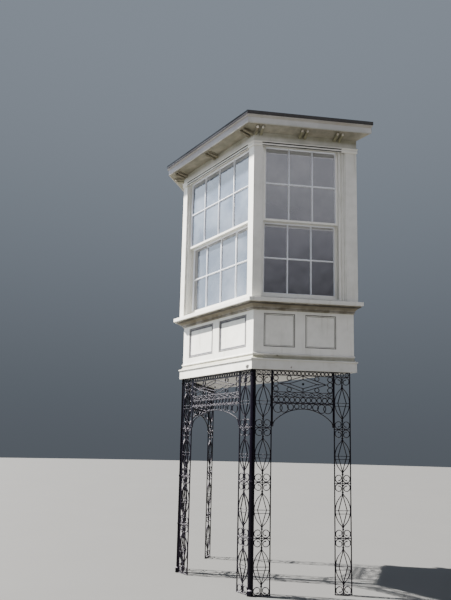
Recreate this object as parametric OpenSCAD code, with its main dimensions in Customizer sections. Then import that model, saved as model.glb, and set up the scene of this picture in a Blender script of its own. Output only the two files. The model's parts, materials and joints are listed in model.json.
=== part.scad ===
// A canted timber bay window of three sash windows, carried at first-floor height on a porch of
// ornamental iron trellis. It is cut off at the house wall, which is the plane y = 0 of the plan below.

/* [Plan] */
// Half the width of the front face, between the outer corners of the window storey
front_half = 705; // [600:5:1000]
// Length of each splayed side face, from its front corner to the wall
side_len = 1215; // [1000:5:1500]
// Angle between the front face and each side face
splay = 58.5; // [48:0.5:64]
// Thickness of the window storey, from its outer face inwards
wall_t = 160; // [150:5:200]

/* [Porch ironwork] */
// Height of the porch, from the ground to the underside of the bay
porch_h = 2370; // [2200:10:2800]
// Width of each trellis panel of a post
post_panel_w = 192; // [160:4:240]
// Number of scroll modules in the height of a post
post_modules = 4; // [3:1:5]
// Distance from the wall to the panel of a wall post
wall_post_gap = 40; // [10:5:120]
// Thickness of the flat iron, measured through a panel
iron_t = 12; // [8:1:20]
// Width of the upright bars of the ironwork
upright_w = 12; // [10:1:20]
// Width of the rails, rings and curved bars of the ironwork
bar_w = 8; // [6:1:11]
// Side of the square bar at each front corner
corner_bar_w = 30; // [22:1:40]
// Height of the scroll band along the top of the ironwork
top_band_h = 54; // [46:2:80]
// Height of the frieze panel that holds the long lozenge
lozenge_band_h = 185; // [150:1:240]
// Height of the narrow band of small lozenges below it
small_band_h = 52; // [42:1:70]
// Height of the band of rings above the arch
ring_band_h = 64; // [52:1:90]
// Height of the band of rings between an arch and its frieze, at the arch's crown
arch_drop = 62; // [50:1:90]
// Height of an arch, from its springing to its crown
arch_rise = 184; // [150:2:260]
// Largest radius of a ring in an arch's spandrel
spandrel_ring_r = 52; // [40:1:64]
// Squareness of the front arch: 2 is an ellipse
front_arch_power = 2.5; // [2:0.1:3]
// Squareness of a side arch
side_arch_power = 1.9; // [1.6:0.1:3]

/* [Base and apron] */
// Height of the plinth board
plinth_h = 100; // [80:1:140]
// Height of the moulding on top of the plinth
base_mould_h = 87; // [70:1:110]
// Height of the lip at the foot of that moulding
base_lip_h = 16; // [10:1:22]
// Height of the round bead along its top
base_bead_h = 25; // [16:1:30]
// Height of the panelled apron, between its two mouldings
apron_h = 480; // [400:5:600]
// Height of the hollow moulding under the sill
bed_mould_h = 73; // [45:1:90]
// How far the plinth is set back from the window storey
plinth_set = 22; // [10:1:40]
// How far the apron is set back from the window storey
apron_set = 56; // [46:1:70]
// Thickness of the apron framing
apron_t = 40; // [30:1:50]
// Width of the apron's upright framing
apron_stile = 118; // [90:1:160]
// Width of the apron's upright framing next to the wall
apron_wall_stile = 205; // [150:5:240]
// Height of the apron's lower framing
apron_rail_low = 71; // [50:1:120]
// Height of the apron's upper framing
apron_rail_top = 32; // [24:1:70]
// Depth that the apron panels lie behind their framing
panel_set = 10; // [6:1:16]
// Width of the bead round each apron panel
bead_w = 14; // [10:1:20]
// Width and depth of the quirk groove inside that bead
quirk = 5; // [3:1:8]

/* [Floor] */
// Thickness of the boards of the porch ceiling
ceiling_board_t = 18; // [12:1:25]
// Thickness of the floor boards
floor_board_t = 25; // [18:1:35]
// Width of a floor joist
joist_w = 50; // [38:1:75]
// Number of floor joists
joists = 5; // [3:1:7]

/* [Sill] */
// Height of the sill at its nose
sill_nose_h = 40; // [34:1:60]
// How far the sill stands out from the window storey
sill_out = 67; // [56:1:90]
// Rise of the sill's weathered top
sill_rise = 20; // [12:1:40]

/* [Windows] */
// Height of the box frame below the sashes
frame_foot = 20; // [14:1:40]
// Height of the two sashes together
sash_h = 1806.5; // [1500:0.5:2200]
// Height of the upper sash
upper_sash_h = 920.5; // [700:0.5:1100]
// Height of the box frame above the sashes
frame_head = 9; // [8:1:40]
// Width of a front corner post, seen on the front face
post_front_w = 84; // [66:1:110]
// Width of a front corner post, seen on a side face
post_side_w = 102; // [76:1:140]
// Width of the pilaster against the wall
pilaster_w = 135; // [100:1:180]
// Width of the moulded casing beside the pilaster
casing_w = 58; // [50:1:110]
// Thickness of the box frame beside a sash of the front window
frame_front_w = 12; // [10:1:25]
// Thickness of the box frame beside a sash of a side window
frame_side_w = 12; // [10:1:40]
// Depth of the upper sash behind the outer face
sash_set = 44; // [40:1:60]
// Thickness of a sash
sash_t = 42; // [36:1:44]
// Thickness of the parting bead between the sashes
parting_t = 12; // [8:1:16]
// How far the beads of the frame overlap a sash
bead_lap = 9; // [5:1:10]
// Width of the uprights of a sash
sash_stile = 34; // [28:1:55]
// Height of the top rail of an upper sash
sash_top_rail = 30; // [26:1:60]
// Height of the two meeting rails
meeting_rail = 24; // [20:1:44]
// Height of the bottom rail of a lower sash
sash_bottom_rail = 60; // [50:1:90]
// Thickness of the glass
glass_t = 4; // [3:1:6]

/* [Cornice and roof] */
// Height of the frieze above the windows
frieze_h = 108.5; // [90:0.5:150]
// How far the head mould stands out
head_mould_out = 18; // [12:1:30]
// Height of the head mould, which hangs in front of the heads of the window frames
head_mould_h = 56; // [40:1:70]
// How far the crown moulding stands out from the window storey
crown_out = 202; // [180:1:240]
// Height of the crown moulding
crown_h = 94; // [76:1:130]
// Thickness of the crown moulding at its foot
crown_t = 26; // [20:1:36]
// Thickness of the soffit boards and of the ceiling
soffit_t = 16; // [12:1:24]
// Length of a cornice bracket
bracket_len = 140; // [110:1:160]
// Height of a cornice bracket against the frieze
bracket_drop = 36; // [30:1:94]
// Width of a cornice bracket
bracket_w = 30; // [24:1:45]
// Distance between the two brackets of a pair
bracket_pair = 60; // [56:1:90]
// Thickness of the lead and boards at the roof's edge
roof_edge_h = 38; // [28:1:60]
// Rise of the roof from its edge to the wall
roof_rise = 95; // [60:1:180]
// Thickness of the roof's boarding and lead
roof_t = 28; // [22:1:45]
// How far the lead edge stands out past the crown
lead_out = 6; // [2:1:12]

/* [Hidden] */

cream = "ivory";
iron_black = "darkslategray";
lead_grey = "dimgray";
oak = "burlywood";
clear = "lightblue";

// Plan: how far a corner moves along the front for each unit that the faces move outwards
mitre = tan(splay / 2);
bay_d = side_len * sin(splay);
// Cut past a face, so that no skin is left
eps = 1;
// Hairline left open between two lengths of moulding at a mitre, and above a corner bar
hairline = 0.5;
far = 6000;

// Heights of the joints between the pieces, from the ground up
plinth_z = porch_h;
base_mould_z = plinth_z + plinth_h;
apron_z = base_mould_z + base_mould_h;
bed_mould_z = apron_z + apron_h;
sill_z = bed_mould_z + bed_mould_h;
sill_top_z = sill_z + sill_nose_h + sill_rise;
sash_z = sill_top_z + frame_foot;
sash_top_z = sash_z + sash_h;
frieze_z = sash_top_z + frame_head;
soffit_z = frieze_z + frieze_h;
crown_foot = 4;
crown_z = soffit_z - crown_foot;
roof_z = crown_z + crown_h;
meeting_z = sash_top_z - upper_sash_h + meeting_rail / 2;

// Depths behind the outer face
lower_sash_set = sash_set + sash_t + parting_t;
apron_back = apron_set + apron_t;
iron_set = apron_set + 8;

// The model's origin is on the ground, under the middle of its box
box_d = bay_d + crown_out + lead_out;

// Where the window openings start and end along their faces
front_jamb = front_half - post_front_w;
side_jamb_0 = post_side_w;
side_jamb_1 = side_len - pilaster_w - casing_w;

// x of a side face that is moved outwards by o, at depth y
function side_x(o, y) = front_half + o * mitre + (y + bay_d + o) / tan(splay);

// Outline of the bay, moved outwards by o and ended at y
function plan(o, y = 0) = [
    [-side_x(o, y), y], [-(front_half + o * mitre), -bay_d - o],
    [front_half + o * mitre, -bay_d - o], [side_x(o, y), y]];

module at_origin() { translate([0, box_d / 2, 0]) children(); }

// Slab of the bay's outline, moved outwards by o
module slab(o, z, h) { translate([0, 0, z]) linear_extrude(h) polygon(plan(o)); }

// Three-sided wall between the outlines at o_out and o_in, open at the house wall
module belt(o_out, o_in, z, h) {
    translate([0, 0, z]) linear_extrude(h) difference() {
        polygon(plan(o_out));
        polygon(plan(o_in, eps));
    }
}

// A face's own frame: x along the face, y inwards, z up
module on_front() { translate([0, -bay_d, 0]) children(); }
module on_right() { translate([front_half, -bay_d, 0]) rotate([0, 0, splay]) children(); }
module on_left() { mirror([1, 0, 0]) on_right() children(); }

// Draws a profile of (outward, up) points as a bar along x, centred on the face's origin
module bar_of(points, length) {
    translate([-length / 2, 0, 0]) rotate([90, 0, 90]) linear_extrude(length)
        polygon([for (p = points) [-p[0], p[1]]]);
}

// The part of the plan that belongs to one face, as far as its mitres
module front_wedge() {
    reach = crown_out + side_len;
    inner = min(bay_d, front_half / mitre) * 0.95;
    linear_extrude(far * 2) polygon([
        [-(front_half + reach * mitre), -bay_d - reach], [front_half + reach * mitre, -bay_d - reach],
        [front_half - inner * mitre, -bay_d + inner], [-(front_half - inner * mitre), -bay_d + inner]]);
}
module right_wedge() {
    reach = crown_out + side_len;
    inner = min(bay_d, front_half / mitre) * 0.95;
    linear_extrude(far * 2) polygon([
        [front_half - inner * mitre, -bay_d + inner], [front_half + reach * mitre, -bay_d - reach],
        [far, -bay_d - reach], [far, 0], [front_half - inner * mitre, 0]]);
}

// Runs a profile round the three faces in three lengths, which meet in mitres at the corners
module moulding(points) {
    intersection() {
        on_front() bar_of(points, far);
        front_wedge();
    }
    for (s = [0, 1]) mirror([s, 0, 0]) intersection() {
        on_right() bar_of(points, far);
        translate([hairline, 0, 0]) right_wedge();
    }
}

// Points of an arc from angle a0 to a1 about c
function arc(c, r, a0, a1, steps = 5) =
    [for (i = [0:steps]) let (a = a0 + (a1 - a0) * i / steps) c + r * [cos(a), sin(a)]];

// Floor and base
module porch_ceiling() { color(cream) slab(-apron_back, plinth_z, ceiling_board_t); }

module floor_joists() {
    z = plinth_z + ceiling_board_t;
    h = plinth_h - ceiling_board_t - floor_board_t;
    span = front_half - apron_back * mitre - joist_w;
    color(oak) for (i = [0:joists - 1])
        translate([-span + 2 * span * i / (joists - 1) - joist_w / 2, -bay_d + apron_back, z])
            cube([joist_w, bay_d - apron_back, h]);
}

module floor_deck() {
    color(oak) slab(-apron_back, plinth_z + plinth_h - floor_board_t, floor_board_t);
}

module plinth_board() { color(cream) belt(-plinth_set, -apron_back, plinth_z, plinth_h); }

module base_mould() {
    lip = -plinth_set + 14;
    bead_r = base_bead_h / 2;
    bead_x = -apron_set + 2;
    hollow_w = lip - bead_x;
    hollow_h = base_mould_h - base_lip_h - base_bead_h;
    lip_z = base_mould_z + base_lip_h;
    top_z = base_mould_z + base_mould_h;
    color(cream) moulding(concat(
        [[-apron_back, base_mould_z], [-plinth_set, base_mould_z], [lip, base_mould_z + 4]],
        [for (i = [0:5]) let (a = 90 * i / 5) [lip - hollow_w * sin(a), lip_z + hollow_h * (1 - cos(a))]],
        arc([bead_x, top_z - bead_r], bead_r, -60, 90, 5), [[-apron_back, top_z]]));
}

// Apron: framing with two sunk panels on each face
function apron_panel_w(length, last) = (length - 2 * apron_stile - last) / 2;
apron_front_len = 2 * (front_half - apron_set * mitre);
apron_side_len = side_len - apron_set * mitre - apron_set / tan(splay);
panel_z = apron_z + apron_rail_low;
panel_h = apron_h - apron_rail_low - apron_rail_top;
front_panel_w = apron_panel_w(apron_front_len, apron_stile);
side_panel_w = apron_panel_w(apron_side_len, apron_wall_stile);

// Places children at the lower left corner of each of the two panels, w wide, of a face that starts at x0
module each_panel(x0, w) {
    for (i = [0, 1]) translate([x0 + apron_stile + i * (w + apron_stile), apron_set, panel_z]) children();
}

// Opening of the framing for one panel
module panel_opening(w) {
    translate([0, -eps, 0]) cube([w, apron_t + 2 * eps, panel_h]);
}

// A flat panel with a quirk groove inside its bead
module quirked_panel(w) {
    outer = bead_w + quirk;
    difference() {
        translate([0, panel_set, 0]) cube([w, apron_t - panel_set, panel_h]);
        translate([bead_w, panel_set - eps, bead_w]) difference() {
            cube([w - 2 * bead_w, quirk + eps, panel_h - 2 * bead_w]);
            translate([quirk, -eps, quirk]) cube([w - 2 * outer, quirk + 3 * eps, panel_h - 2 * outer]);
        }
    }
}

module apron_front() {
    color(cream) intersection() {
        on_front() difference() {
            translate([-apron_front_len / 2, apron_set, apron_z]) cube([apron_front_len, apron_t, apron_h]);
            each_panel(-apron_front_len / 2, front_panel_w) panel_opening(front_panel_w);
        }
        front_wedge();
    }
}

module apron_side() {
    intersection() {
        on_right() difference() {
            translate([0, apron_set, apron_z]) cube([side_len * 1.5, apron_t, apron_h]);
            each_panel(apron_set * mitre, side_panel_w) panel_opening(side_panel_w);
        }
        right_wedge();
    }
}
module apron_right() { color(cream) apron_side(); }
module apron_left() { color(cream) mirror([1, 0, 0]) apron_side(); }

module apron_panels() {
    color(cream) {
        on_front() each_panel(-apron_front_len / 2, front_panel_w) quirked_panel(front_panel_w);
        for (s = [0, 1]) mirror([s, 0, 0]) on_right()
            each_panel(apron_set * mitre, side_panel_w) quirked_panel(side_panel_w);
    }
}

module apron_wall() { color(cream) belt(-apron_back, -wall_t, base_mould_z, sill_z - base_mould_z); }

module bed_mould() {
    lip = sill_out - 30;
    fillet_h = 14;
    hollow_w = apron_set + lip - 12;
    color(cream) moulding(concat(
        [[-apron_back, bed_mould_z], [-apron_set + 12, bed_mould_z], [-apron_set + 12, bed_mould_z + 8]],
        [for (i = [1:6]) let (a = 90 * i / 6)
            [-apron_set + 12 + hollow_w * (1 - cos(a)),
                bed_mould_z + 8 + (bed_mould_h - 8 - fillet_h) * sin(a)]],
        [[lip, sill_z], [-apron_back, sill_z]]));
}

module window_sill() {
    color(cream) moulding([
        [-wall_t, sill_z], [sill_out - 14, sill_z], [sill_out - 14, sill_z + 6], [sill_out - 6, sill_z + 6],
        [sill_out - 6, sill_z], [sill_out, sill_z], [sill_out, sill_z + sill_nose_h],
        [0, sill_top_z], [-wall_t, sill_top_z]]);
}

// Posts of the window storey. A post that is narrower than its mitre ends on the mitre's line, where
// the window frames then meet
function on_mitre(depth) = [front_half - depth * mitre, -bay_d + depth];
module corner_post() {
    along = [cos(splay), sin(splay)];
    inward = [-sin(splay), cos(splay)];
    corner = on_mitre(0);
    edge = corner + post_side_w * along;
    side_d = post_side_w / mitre;
    front_d = post_front_w / mitre;
    translate([0, 0, sill_top_z]) linear_extrude(frieze_z - sill_top_z) polygon(concat(
        [[front_jamb, -bay_d], corner, edge],
        side_d < wall_t ? [on_mitre(side_d)] : [edge + wall_t * inward],
        max(side_d, front_d) < wall_t ? [] : [on_mitre(wall_t)],
        front_d < wall_t ? [on_mitre(front_d)] : [[front_jamb, -bay_d + wall_t]]));
}
module corner_post_right() { color(cream) corner_post(); }
module corner_post_left() { color(cream) mirror([1, 0, 0]) corner_post(); }

// Flat pilaster against the wall, with a stepped casing towards the window
module wall_pilaster() {
    z = sill_top_z;
    h = frieze_z - sill_top_z;
    intersection() {
        union() {
            on_right() translate([side_len - pilaster_w, 0, z]) cube([side_len, wall_t, h]);
            on_right() translate([side_jamb_1, 0, z]) linear_extrude(h) polygon(concat(
                [[0, wall_t], [0, 30]], arc([0, 12], 18, 90, 0, 4),
                [[casing_w * 0.42, 12], [casing_w * 0.42, 20], [casing_w * 0.76, 20], [casing_w * 0.76, 8]],
                [[casing_w, 8], [casing_w, wall_t]]));
        }
        right_wedge();
    }
}
module wall_pilaster_right() { color(cream) wall_pilaster(); }
module wall_pilaster_left() { color(cream) mirror([1, 0, 0]) wall_pilaster(); }

// Box frame: a ring of jambs, head and foot, with outer, parting and inner beads
module window_frame(x0, x1, jamb) {
    outer_set = 18;
    w = x1 - x0;
    inner_set = lower_sash_set + sash_t;
    difference() {
        translate([x0, outer_set, sill_top_z]) cube([w, wall_t - outer_set, frieze_z - sill_top_z]);
        translate([x0 + jamb + bead_lap, -eps, sash_z])
            cube([w - 2 * (jamb + bead_lap), wall_t + 2 * eps, sash_h - bead_lap]);
        translate([x0 + jamb, sash_set, sash_z]) cube([w - 2 * jamb, sash_t, sash_h]);
        translate([x0 + jamb, lower_sash_set, sash_z]) cube([w - 2 * jamb, sash_t, sash_h]);
        translate([x0 - eps, -eps, sill_top_z - eps])
            cube([w + 2 * eps, sash_set - 8 + eps, frame_foot * 0.45]);
        translate([x0 + jamb + bead_lap, inner_set, sash_z])
            cube([w - 2 * (jamb + bead_lap), wall_t, sash_h - bead_lap]);
    }
}
module side_window_frame() {
    intersection() {
        on_right() window_frame(side_jamb_0, side_jamb_1, frame_side_w);
        right_wedge();
    }
}
module front_window_frame() {
    color(cream) intersection() {
        on_front() window_frame(-front_jamb, front_jamb, frame_front_w);
        front_wedge();
    }
}
module right_window_frame() { color(cream) side_window_frame(); }
module left_window_frame() { color(cream) mirror([1, 0, 0]) side_window_frame(); }

// A sash is a frame round one pane opening; its bars divide the glass
module sash(x0, x1, z0, z1, set, low_rail, top_rail) {
    difference() {
        translate([x0, set, z0]) cube([x1 - x0, sash_t, z1 - z0]);
        translate([x0 + sash_stile, set - eps, z0 + low_rail])
            cube([x1 - x0 - 2 * sash_stile, sash_t + 2 * eps, z1 - z0 - low_rail - top_rail]);
    }
}
module upper_sash(x0, x1) {
    sash(x0, x1, meeting_z - meeting_rail / 2, sash_top_z, sash_set, meeting_rail, sash_top_rail);
}
module lower_sash(x0, x1) {
    sash(x0, x1, sash_z, meeting_z + meeting_rail / 2, lower_sash_set, sash_bottom_rail, meeting_rail);
}
// Two sheets of glass, one in each sash
module glass(x0, x1) {
    w = x1 - x0 - 2 * sash_stile;
    inset = (sash_t - glass_t) / 2;
    translate([x0 + sash_stile, sash_set + inset, meeting_z + meeting_rail / 2])
        cube([w, glass_t, sash_top_z - sash_top_rail - meeting_z - meeting_rail / 2]);
    translate([x0 + sash_stile, lower_sash_set + inset, sash_z + sash_bottom_rail])
        cube([w, glass_t, meeting_z - meeting_rail / 2 - sash_z - sash_bottom_rail]);
}
sash_front = front_jamb - frame_front_w;
sash_side_0 = side_jamb_0 + frame_side_w;
sash_side_1 = side_jamb_1 - frame_side_w;

module front_upper_sash() { color(cream) on_front() upper_sash(-sash_front, sash_front); }
module front_lower_sash() { color(cream) on_front() lower_sash(-sash_front, sash_front); }
module left_upper_sash() { color(cream) on_left() upper_sash(sash_side_0, sash_side_1); }
module left_lower_sash() { color(cream) on_left() lower_sash(sash_side_0, sash_side_1); }
module right_upper_sash() { color(cream) on_right() upper_sash(sash_side_0, sash_side_1); }
module right_lower_sash() { color(cream) on_right() lower_sash(sash_side_0, sash_side_1); }
module window_glass() {
    color(clear) {
        on_front() glass(-sash_front, sash_front);
        on_left() glass(sash_side_0, sash_side_1);
        on_right() glass(sash_side_0, sash_side_1);
    }
}

// Cornice
module frieze() { color(cream) belt(0, -wall_t, frieze_z, frieze_h); }

module head_mould() {
    z = frieze_z - head_mould_h;
    color(cream) moulding([
        [0, z], [head_mould_out * 0.5, z], [head_mould_out * 0.8, z + head_mould_h * 0.18],
        [head_mould_out * 0.8, z + head_mould_h * 0.5], [head_mould_out * 0.5, z + head_mould_h * 0.62],
        [head_mould_out, z + head_mould_h * 0.8], [head_mould_out, z + head_mould_h], [0, z + head_mould_h]]);
}

module soffit() { color(cream) belt(crown_out - crown_t, -wall_t, soffit_z, soffit_t); }

module ceiling() { color("white") slab(-wall_t, soffit_z, soffit_t); }

// A small scrolled bracket, from the face outwards, with its top at the soffit
module bracket() {
    drop = min(bracket_drop, frieze_h - 6);
    nose = 30;
    profile = concat(
        [[0, 0], [0, -drop], [18, -drop]],
        [for (i = [1:5]) let (t = i / 5)
            [18 + (bracket_len - nose - 18) * t, -drop + (drop - nose) * sin(90 * t)]],
        arc([bracket_len - nose / 2, -nose / 2], nose / 2, 270, 360, 4),
        [[bracket_len, 0]]);
    translate([-bracket_w / 2, 0, soffit_z]) rotate([90, 0, 90]) linear_extrude(bracket_w)
        polygon([for (p = profile) [-p[0], p[1]]]);
}
module bracket_pairs(centres) {
    for (c = centres, s = [-1, 1]) translate([c + s * bracket_pair / 2, 0, 0]) bracket();
}
module cornice_brackets() {
    corner_gap = 2;
    side_start = bracket_pair / 2 + bracket_w / 2 + corner_gap;
    front_end = front_half - side_start;
    side_middle = (side_jamb_0 + side_jamb_1) / 2;
    side_end = side_jamb_1 - side_start;
    color(cream) {
        on_front() bracket_pairs([-front_end, 0, front_end]);
        for (s = [0, 1]) mirror([s, 0, 0]) on_right()
            bracket_pairs([side_start, side_middle, side_end]);
    }
}

module crown_moulding() {
    back = crown_out - crown_t;
    face = crown_out - 16;
    color(cream) moulding(concat(
        [[back, crown_z], [face - 8, crown_z], [face - 8, crown_z + crown_foot], [face, crown_z + crown_foot],
            [face, crown_z + crown_h * 0.62]],
        [for (i = [1:5]) let (a = 90 * i / 5)
            [face + 12 * (1 - cos(a)), crown_z + crown_h * (0.62 + 0.24 * sin(a))]],
        [[crown_out, crown_z + crown_h * 0.86], [crown_out, roof_z], [back, roof_z]]));
}

// Low hipped roof of boards covered with lead, rising to the wall
module roof_shape(o, z, edge, rise) {
    ridge = front_half * 0.6;
    hull() {
        slab(o, z, edge);
        translate([-ridge, -eps, z]) cube([2 * ridge, eps, edge + rise]);
    }
}
module lead_roof() {
    color(lead_grey) difference() {
        roof_shape(crown_out + lead_out, roof_z, roof_edge_h, roof_rise);
        translate([0, eps, -eps]) roof_shape(crown_out - crown_t - 2, roof_z, eps, roof_rise + roof_edge_h - roof_t);
    }
}

// Ironwork is flat bar cut as outlines: x along the panel, y up
module flat_iron() { rotate([90, 0, 0]) translate([0, 0, -iron_t / 2]) linear_extrude(iron_t) children(); }

ring_sides = 8;
// How far a bar or ring runs into the next one, so that they are fused
lap = 2.5;
module ring_2d(r) {
    flat_r = r / cos(180 / ring_sides);
    rotate(180 / ring_sides) difference() {
        circle(flat_r, $fn = ring_sides);
        circle(flat_r - bar_w, $fn = ring_sides);
    }
}

// Unit vector square to the run of points at number i
function across(points, i) =
    let (d = points[min(i + 1, len(points) - 1)] - points[max(i - 1, 0)]) [-d[1], d[0]] / norm(d);

// A flat bar of width w that follows the points
module bar_2d(points, w = bar_w) {
    n = len(points) - 1;
    polygon(concat(
        [for (i = [0:n]) points[i] + across(points, i) * w / 2],
        [for (i = [n:-1:0]) points[i] - across(points, i) * w / 2]));
}

// Points of a spiral about c, from radius r0 at angle a0 to radius r1 at angle a1
function spiral(c, r0, r1, a0, a1, steps) = [for (i = [0:steps])
    let (t = i / steps, r = r0 + (r1 - r0) * t, a = a0 + (a1 - a0) * t) c + r * [cos(a), sin(a)]];

// Outline of a lozenge of half size a by b, whose sides are hollow by sag
function lozenge_outline(a, b, sag, steps = 3) = [for (q = [0:3], i = [0:steps - 1])
    let (t = i / steps, u = q % 2 == 0 ? t : 1 - t, k = 1 - sag * sin(180 * t),
        sx = q < 2 ? 1 : -1, sy = q == 0 || q == 3 ? 1 : -1)
    [sx * a * u * k, sy * b * (1 - u) * k]];
module lozenge_2d(a, b, sag) {
    inner = 1 - bar_w * norm([a, b]) / (a * b);
    difference() {
        polygon(lozenge_outline(a, b, sag));
        scale([inner, inner]) polygon(lozenge_outline(a, b, sag));
    }
}

// Half of a long S scroll: a curl beside the centre line, then its tail down to the neck
function curl_points(r, c, neck) = concat(
    spiral(c, r * 0.42, r, 450, 270, 4), spiral(c, r, r, 230, 0, 6),
    [[-bar_w / 4, (c[1] + neck) / 2]]);

// One scroll module of a post, w wide and h high: a pair of long S scrolls that curl inwards at
// both ends and swell out to the uprights between them, round a tall lozenge
module scroll_module_2d(w, h) {
    inner = w / 2 - upright_w;
    curl_r = (inner + 2 * lap - bar_w) / 2;
    curl_x = -inner - lap + curl_r + bar_w / 2;
    curl_y = h / 2 - bar_w - curl_r + lap;
    neck = curl_y - curl_r - bar_w;
    swell = inner + lap - bar_w / 2;
    half = curl_points(curl_r, [curl_x, curl_y], neck);
    sides = [for (i = [1:5]) let (t = i / 6) [-swell * sin(180 * t), neck - 2 * neck * t]];
    translate([w / 2, h / 2]) {
        for (s = [0, 1]) mirror([s, 0]) bar_2d(concat(half, [[-bar_w / 4, neck]], sides, [[-bar_w / 4, -neck]],
            [for (i = [len(half) - 1:-1:0]) [half[i][0], -half[i][1]]]));
        lozenge_2d(inner * 0.62, neck * 0.94, 0.05);
        for (v = [-1, 1]) {
            bar_2d([[0, v * neck * 0.88], [0, v * (neck + bar_w)]]);
            translate([0, v * (curl_y + curl_r * 0.62)]) polygon([for (p = [[0, -1], [0.35, 0], [0, 1], [-0.35, 0]])
                p * (curl_r * 0.46)]);
        }
        for (y = [0, -h * 0.06]) bar_2d([[-inner - lap, y], [inner + lap, y]], 6);
    }
}

// A post panel: uprights, rails and scroll modules, with a band of rings at its head. Its first
// upright is made wider by extra, to reach what carries it
module post_panel(extra = 0) {
    module_h = (porch_h - top_band_h) / post_modules;
    inner_w = post_panel_w - 2 * upright_w;
    band_gap = top_band_h - 1.5 * bar_w;
    r = band_gap / 2 + lap;
    flat_iron() {
        translate([-extra, 0]) square([upright_w + extra, porch_h]);
        translate([post_panel_w - upright_w, 0]) square([upright_w, porch_h]);
        for (i = [0:post_modules]) translate([0, max(0, i * module_h - bar_w / 2)]) square([post_panel_w, bar_w]);
        translate([0, porch_h - bar_w]) square([post_panel_w, bar_w]);
    }
    flat_iron() {
        for (i = [0:post_modules - 1]) translate([0, i * module_h]) scroll_module_2d(post_panel_w, module_h);
        for (s = [-1, 0, 1]) translate([post_panel_w / 2 + s * inner_w / 3, porch_h - bar_w - band_gap / 2])
            ring_2d(r);
    }
}

// Heights of the frieze's rails, from the top down
band_z = [porch_h - bar_w / 2, porch_h - top_band_h, porch_h - top_band_h - lozenge_band_h,
    porch_h - top_band_h - lozenge_band_h - small_band_h,
    porch_h - top_band_h - lozenge_band_h - small_band_h - ring_band_h];
frieze_low = band_z[4] - bar_w / 2;

// A row of equal rings that fills the gap between two rails
module row_of_rings(w, z_top, z_low) {
    r = (z_top - z_low - bar_w) / 2 + lap;
    n = round((w - 2 * upright_w) / (2 * r - lap));
    pitch = (w - 2 * upright_w) / n;
    for (i = [0:n - 1]) translate([-w / 2 + upright_w + pitch * (i + 0.5), (z_top + z_low) / 2]) ring_2d(r);
}

// Long lozenge between two columns of rings, with a smaller one inside it and a ring in each corner
module lozenge_band_2d(w) {
    b = (lozenge_band_h - bar_w) / 2 + lap;
    column_r = (b - lap) / 3 + lap * 0.75;
    column_x = w / 2 - upright_w - column_r + lap;
    a = column_x - column_r + lap;
    corner_r = b * 0.31;
    for (s = [-1, 1]) {
        for (i = [-1, 0, 1]) translate([s * column_x, i * (b - column_r)]) ring_2d(column_r);
        for (v = [-1, 1]) translate([s * a * 2 * (corner_r - lap) / b, v * (b - corner_r)]) ring_2d(corner_r);
        bar_2d([[s * a * 0.56, 0], [s * (a - 2 * lap), 0]]);
        bar_2d([[0, s * b * 0.54], [0, s * (b - lap)]]);
    }
    lozenge_2d(a, b, -0.06);
    lozenge_2d(a * 0.62, b * 0.6, 0.04);
}

// Frieze of width w, hung under the bay: bands of rings, a long lozenge and small lozenges
module frieze_panel(w) {
    small_n = round(w / (small_band_h * 1.9));
    small_pitch = (w - 2 * upright_w) / small_n;
    flat_iron() {
        for (x = [-w / 2, w / 2 - upright_w]) translate([x, frieze_low]) square([upright_w, porch_h - frieze_low]);
        for (z = band_z) translate([-w / 2, z - bar_w / 2]) square([w, bar_w]);
    }
    flat_iron() {
        row_of_rings(w, band_z[0], band_z[1]);
        translate([0, (band_z[1] + band_z[2]) / 2]) lozenge_band_2d(w);
        for (i = [0:small_n - 1])
            translate([-w / 2 + upright_w + small_pitch * (i + 0.5), (band_z[2] + band_z[3]) / 2])
                lozenge_2d(small_pitch / 2 + lap, (small_band_h - bar_w) / 2 + lap, 0);
        row_of_rings(w, band_z[3], band_z[4]);
    }
}

// Point at angle t of an arch of half span a and height b, as a superellipse of power n
function arch_point(a, b, n, t) = [a * sign(cos(t)) * pow(abs(cos(t)), 2 / n), b * pow(sin(t), 2 / n)];

// Arch of width w below a frieze, with rings that fill its spandrels
module arch_panel(w, power) {
    arch_top = frieze_low - arch_drop;
    spring = arch_top - arch_rise;
    arch_half = w / 2 - upright_w;
    flat_iron() {
        for (x = [-w / 2, w / 2 - upright_w]) translate([x, spring - upright_w])
            square([upright_w, frieze_low - spring + upright_w]);
        translate([-w / 2, frieze_low - bar_w]) square([w, bar_w]);
    }
    flat_iron() {
        bar_2d([for (i = [0:16]) [0, spring] + arch_point(arch_half, arch_rise, power, 180 * i / 16)], bar_w + 1);
        for (s = [-1, 1], u = [0.84, 0.63, 0.42, 0.21, 0]) if (u > 0 || s > 0) {
            low = spring + arch_rise * pow(1 - pow(u, power), 1 / power);
            r = min((frieze_low - bar_w - low - bar_w / 2) / 2 + lap, spandrel_ring_r);
            translate([s * min(u * arch_half, arch_half - r + lap), frieze_low - bar_w - r + lap]) ring_2d(r);
        }
    }
}

// Places of the ironwork along a side face, and the width that is left for each arch. A panel's own
// outline ends bar_gap short of the turned corner bar's face
iron_corner = iron_set * mitre;
iron_end = side_len - iron_set / tan(splay) - wall_post_gap;
bar_gap = 2;
bar_reach = corner_bar_w / 2 / cos(splay / 2) + tan(splay / 2) * iron_t / 2 + bar_gap;
side_panel_0 = iron_corner + bar_reach;
side_arch_w = iron_end - post_panel_w - (side_panel_0 + post_panel_w);
front_panel_1 = front_half - iron_corner - bar_reach;
front_arch_w = 2 * (front_panel_1 - post_panel_w);

// Square bar at a front corner, turned to halve the angle between the faces
module corner_bar() {
    translate([front_half - iron_corner, -bay_d + iron_set, 0]) rotate([0, 0, splay / 2])
        translate([-corner_bar_w / 2, -corner_bar_w / 2, 0]) cube([corner_bar_w, corner_bar_w, porch_h - hairline]);
}

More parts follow.
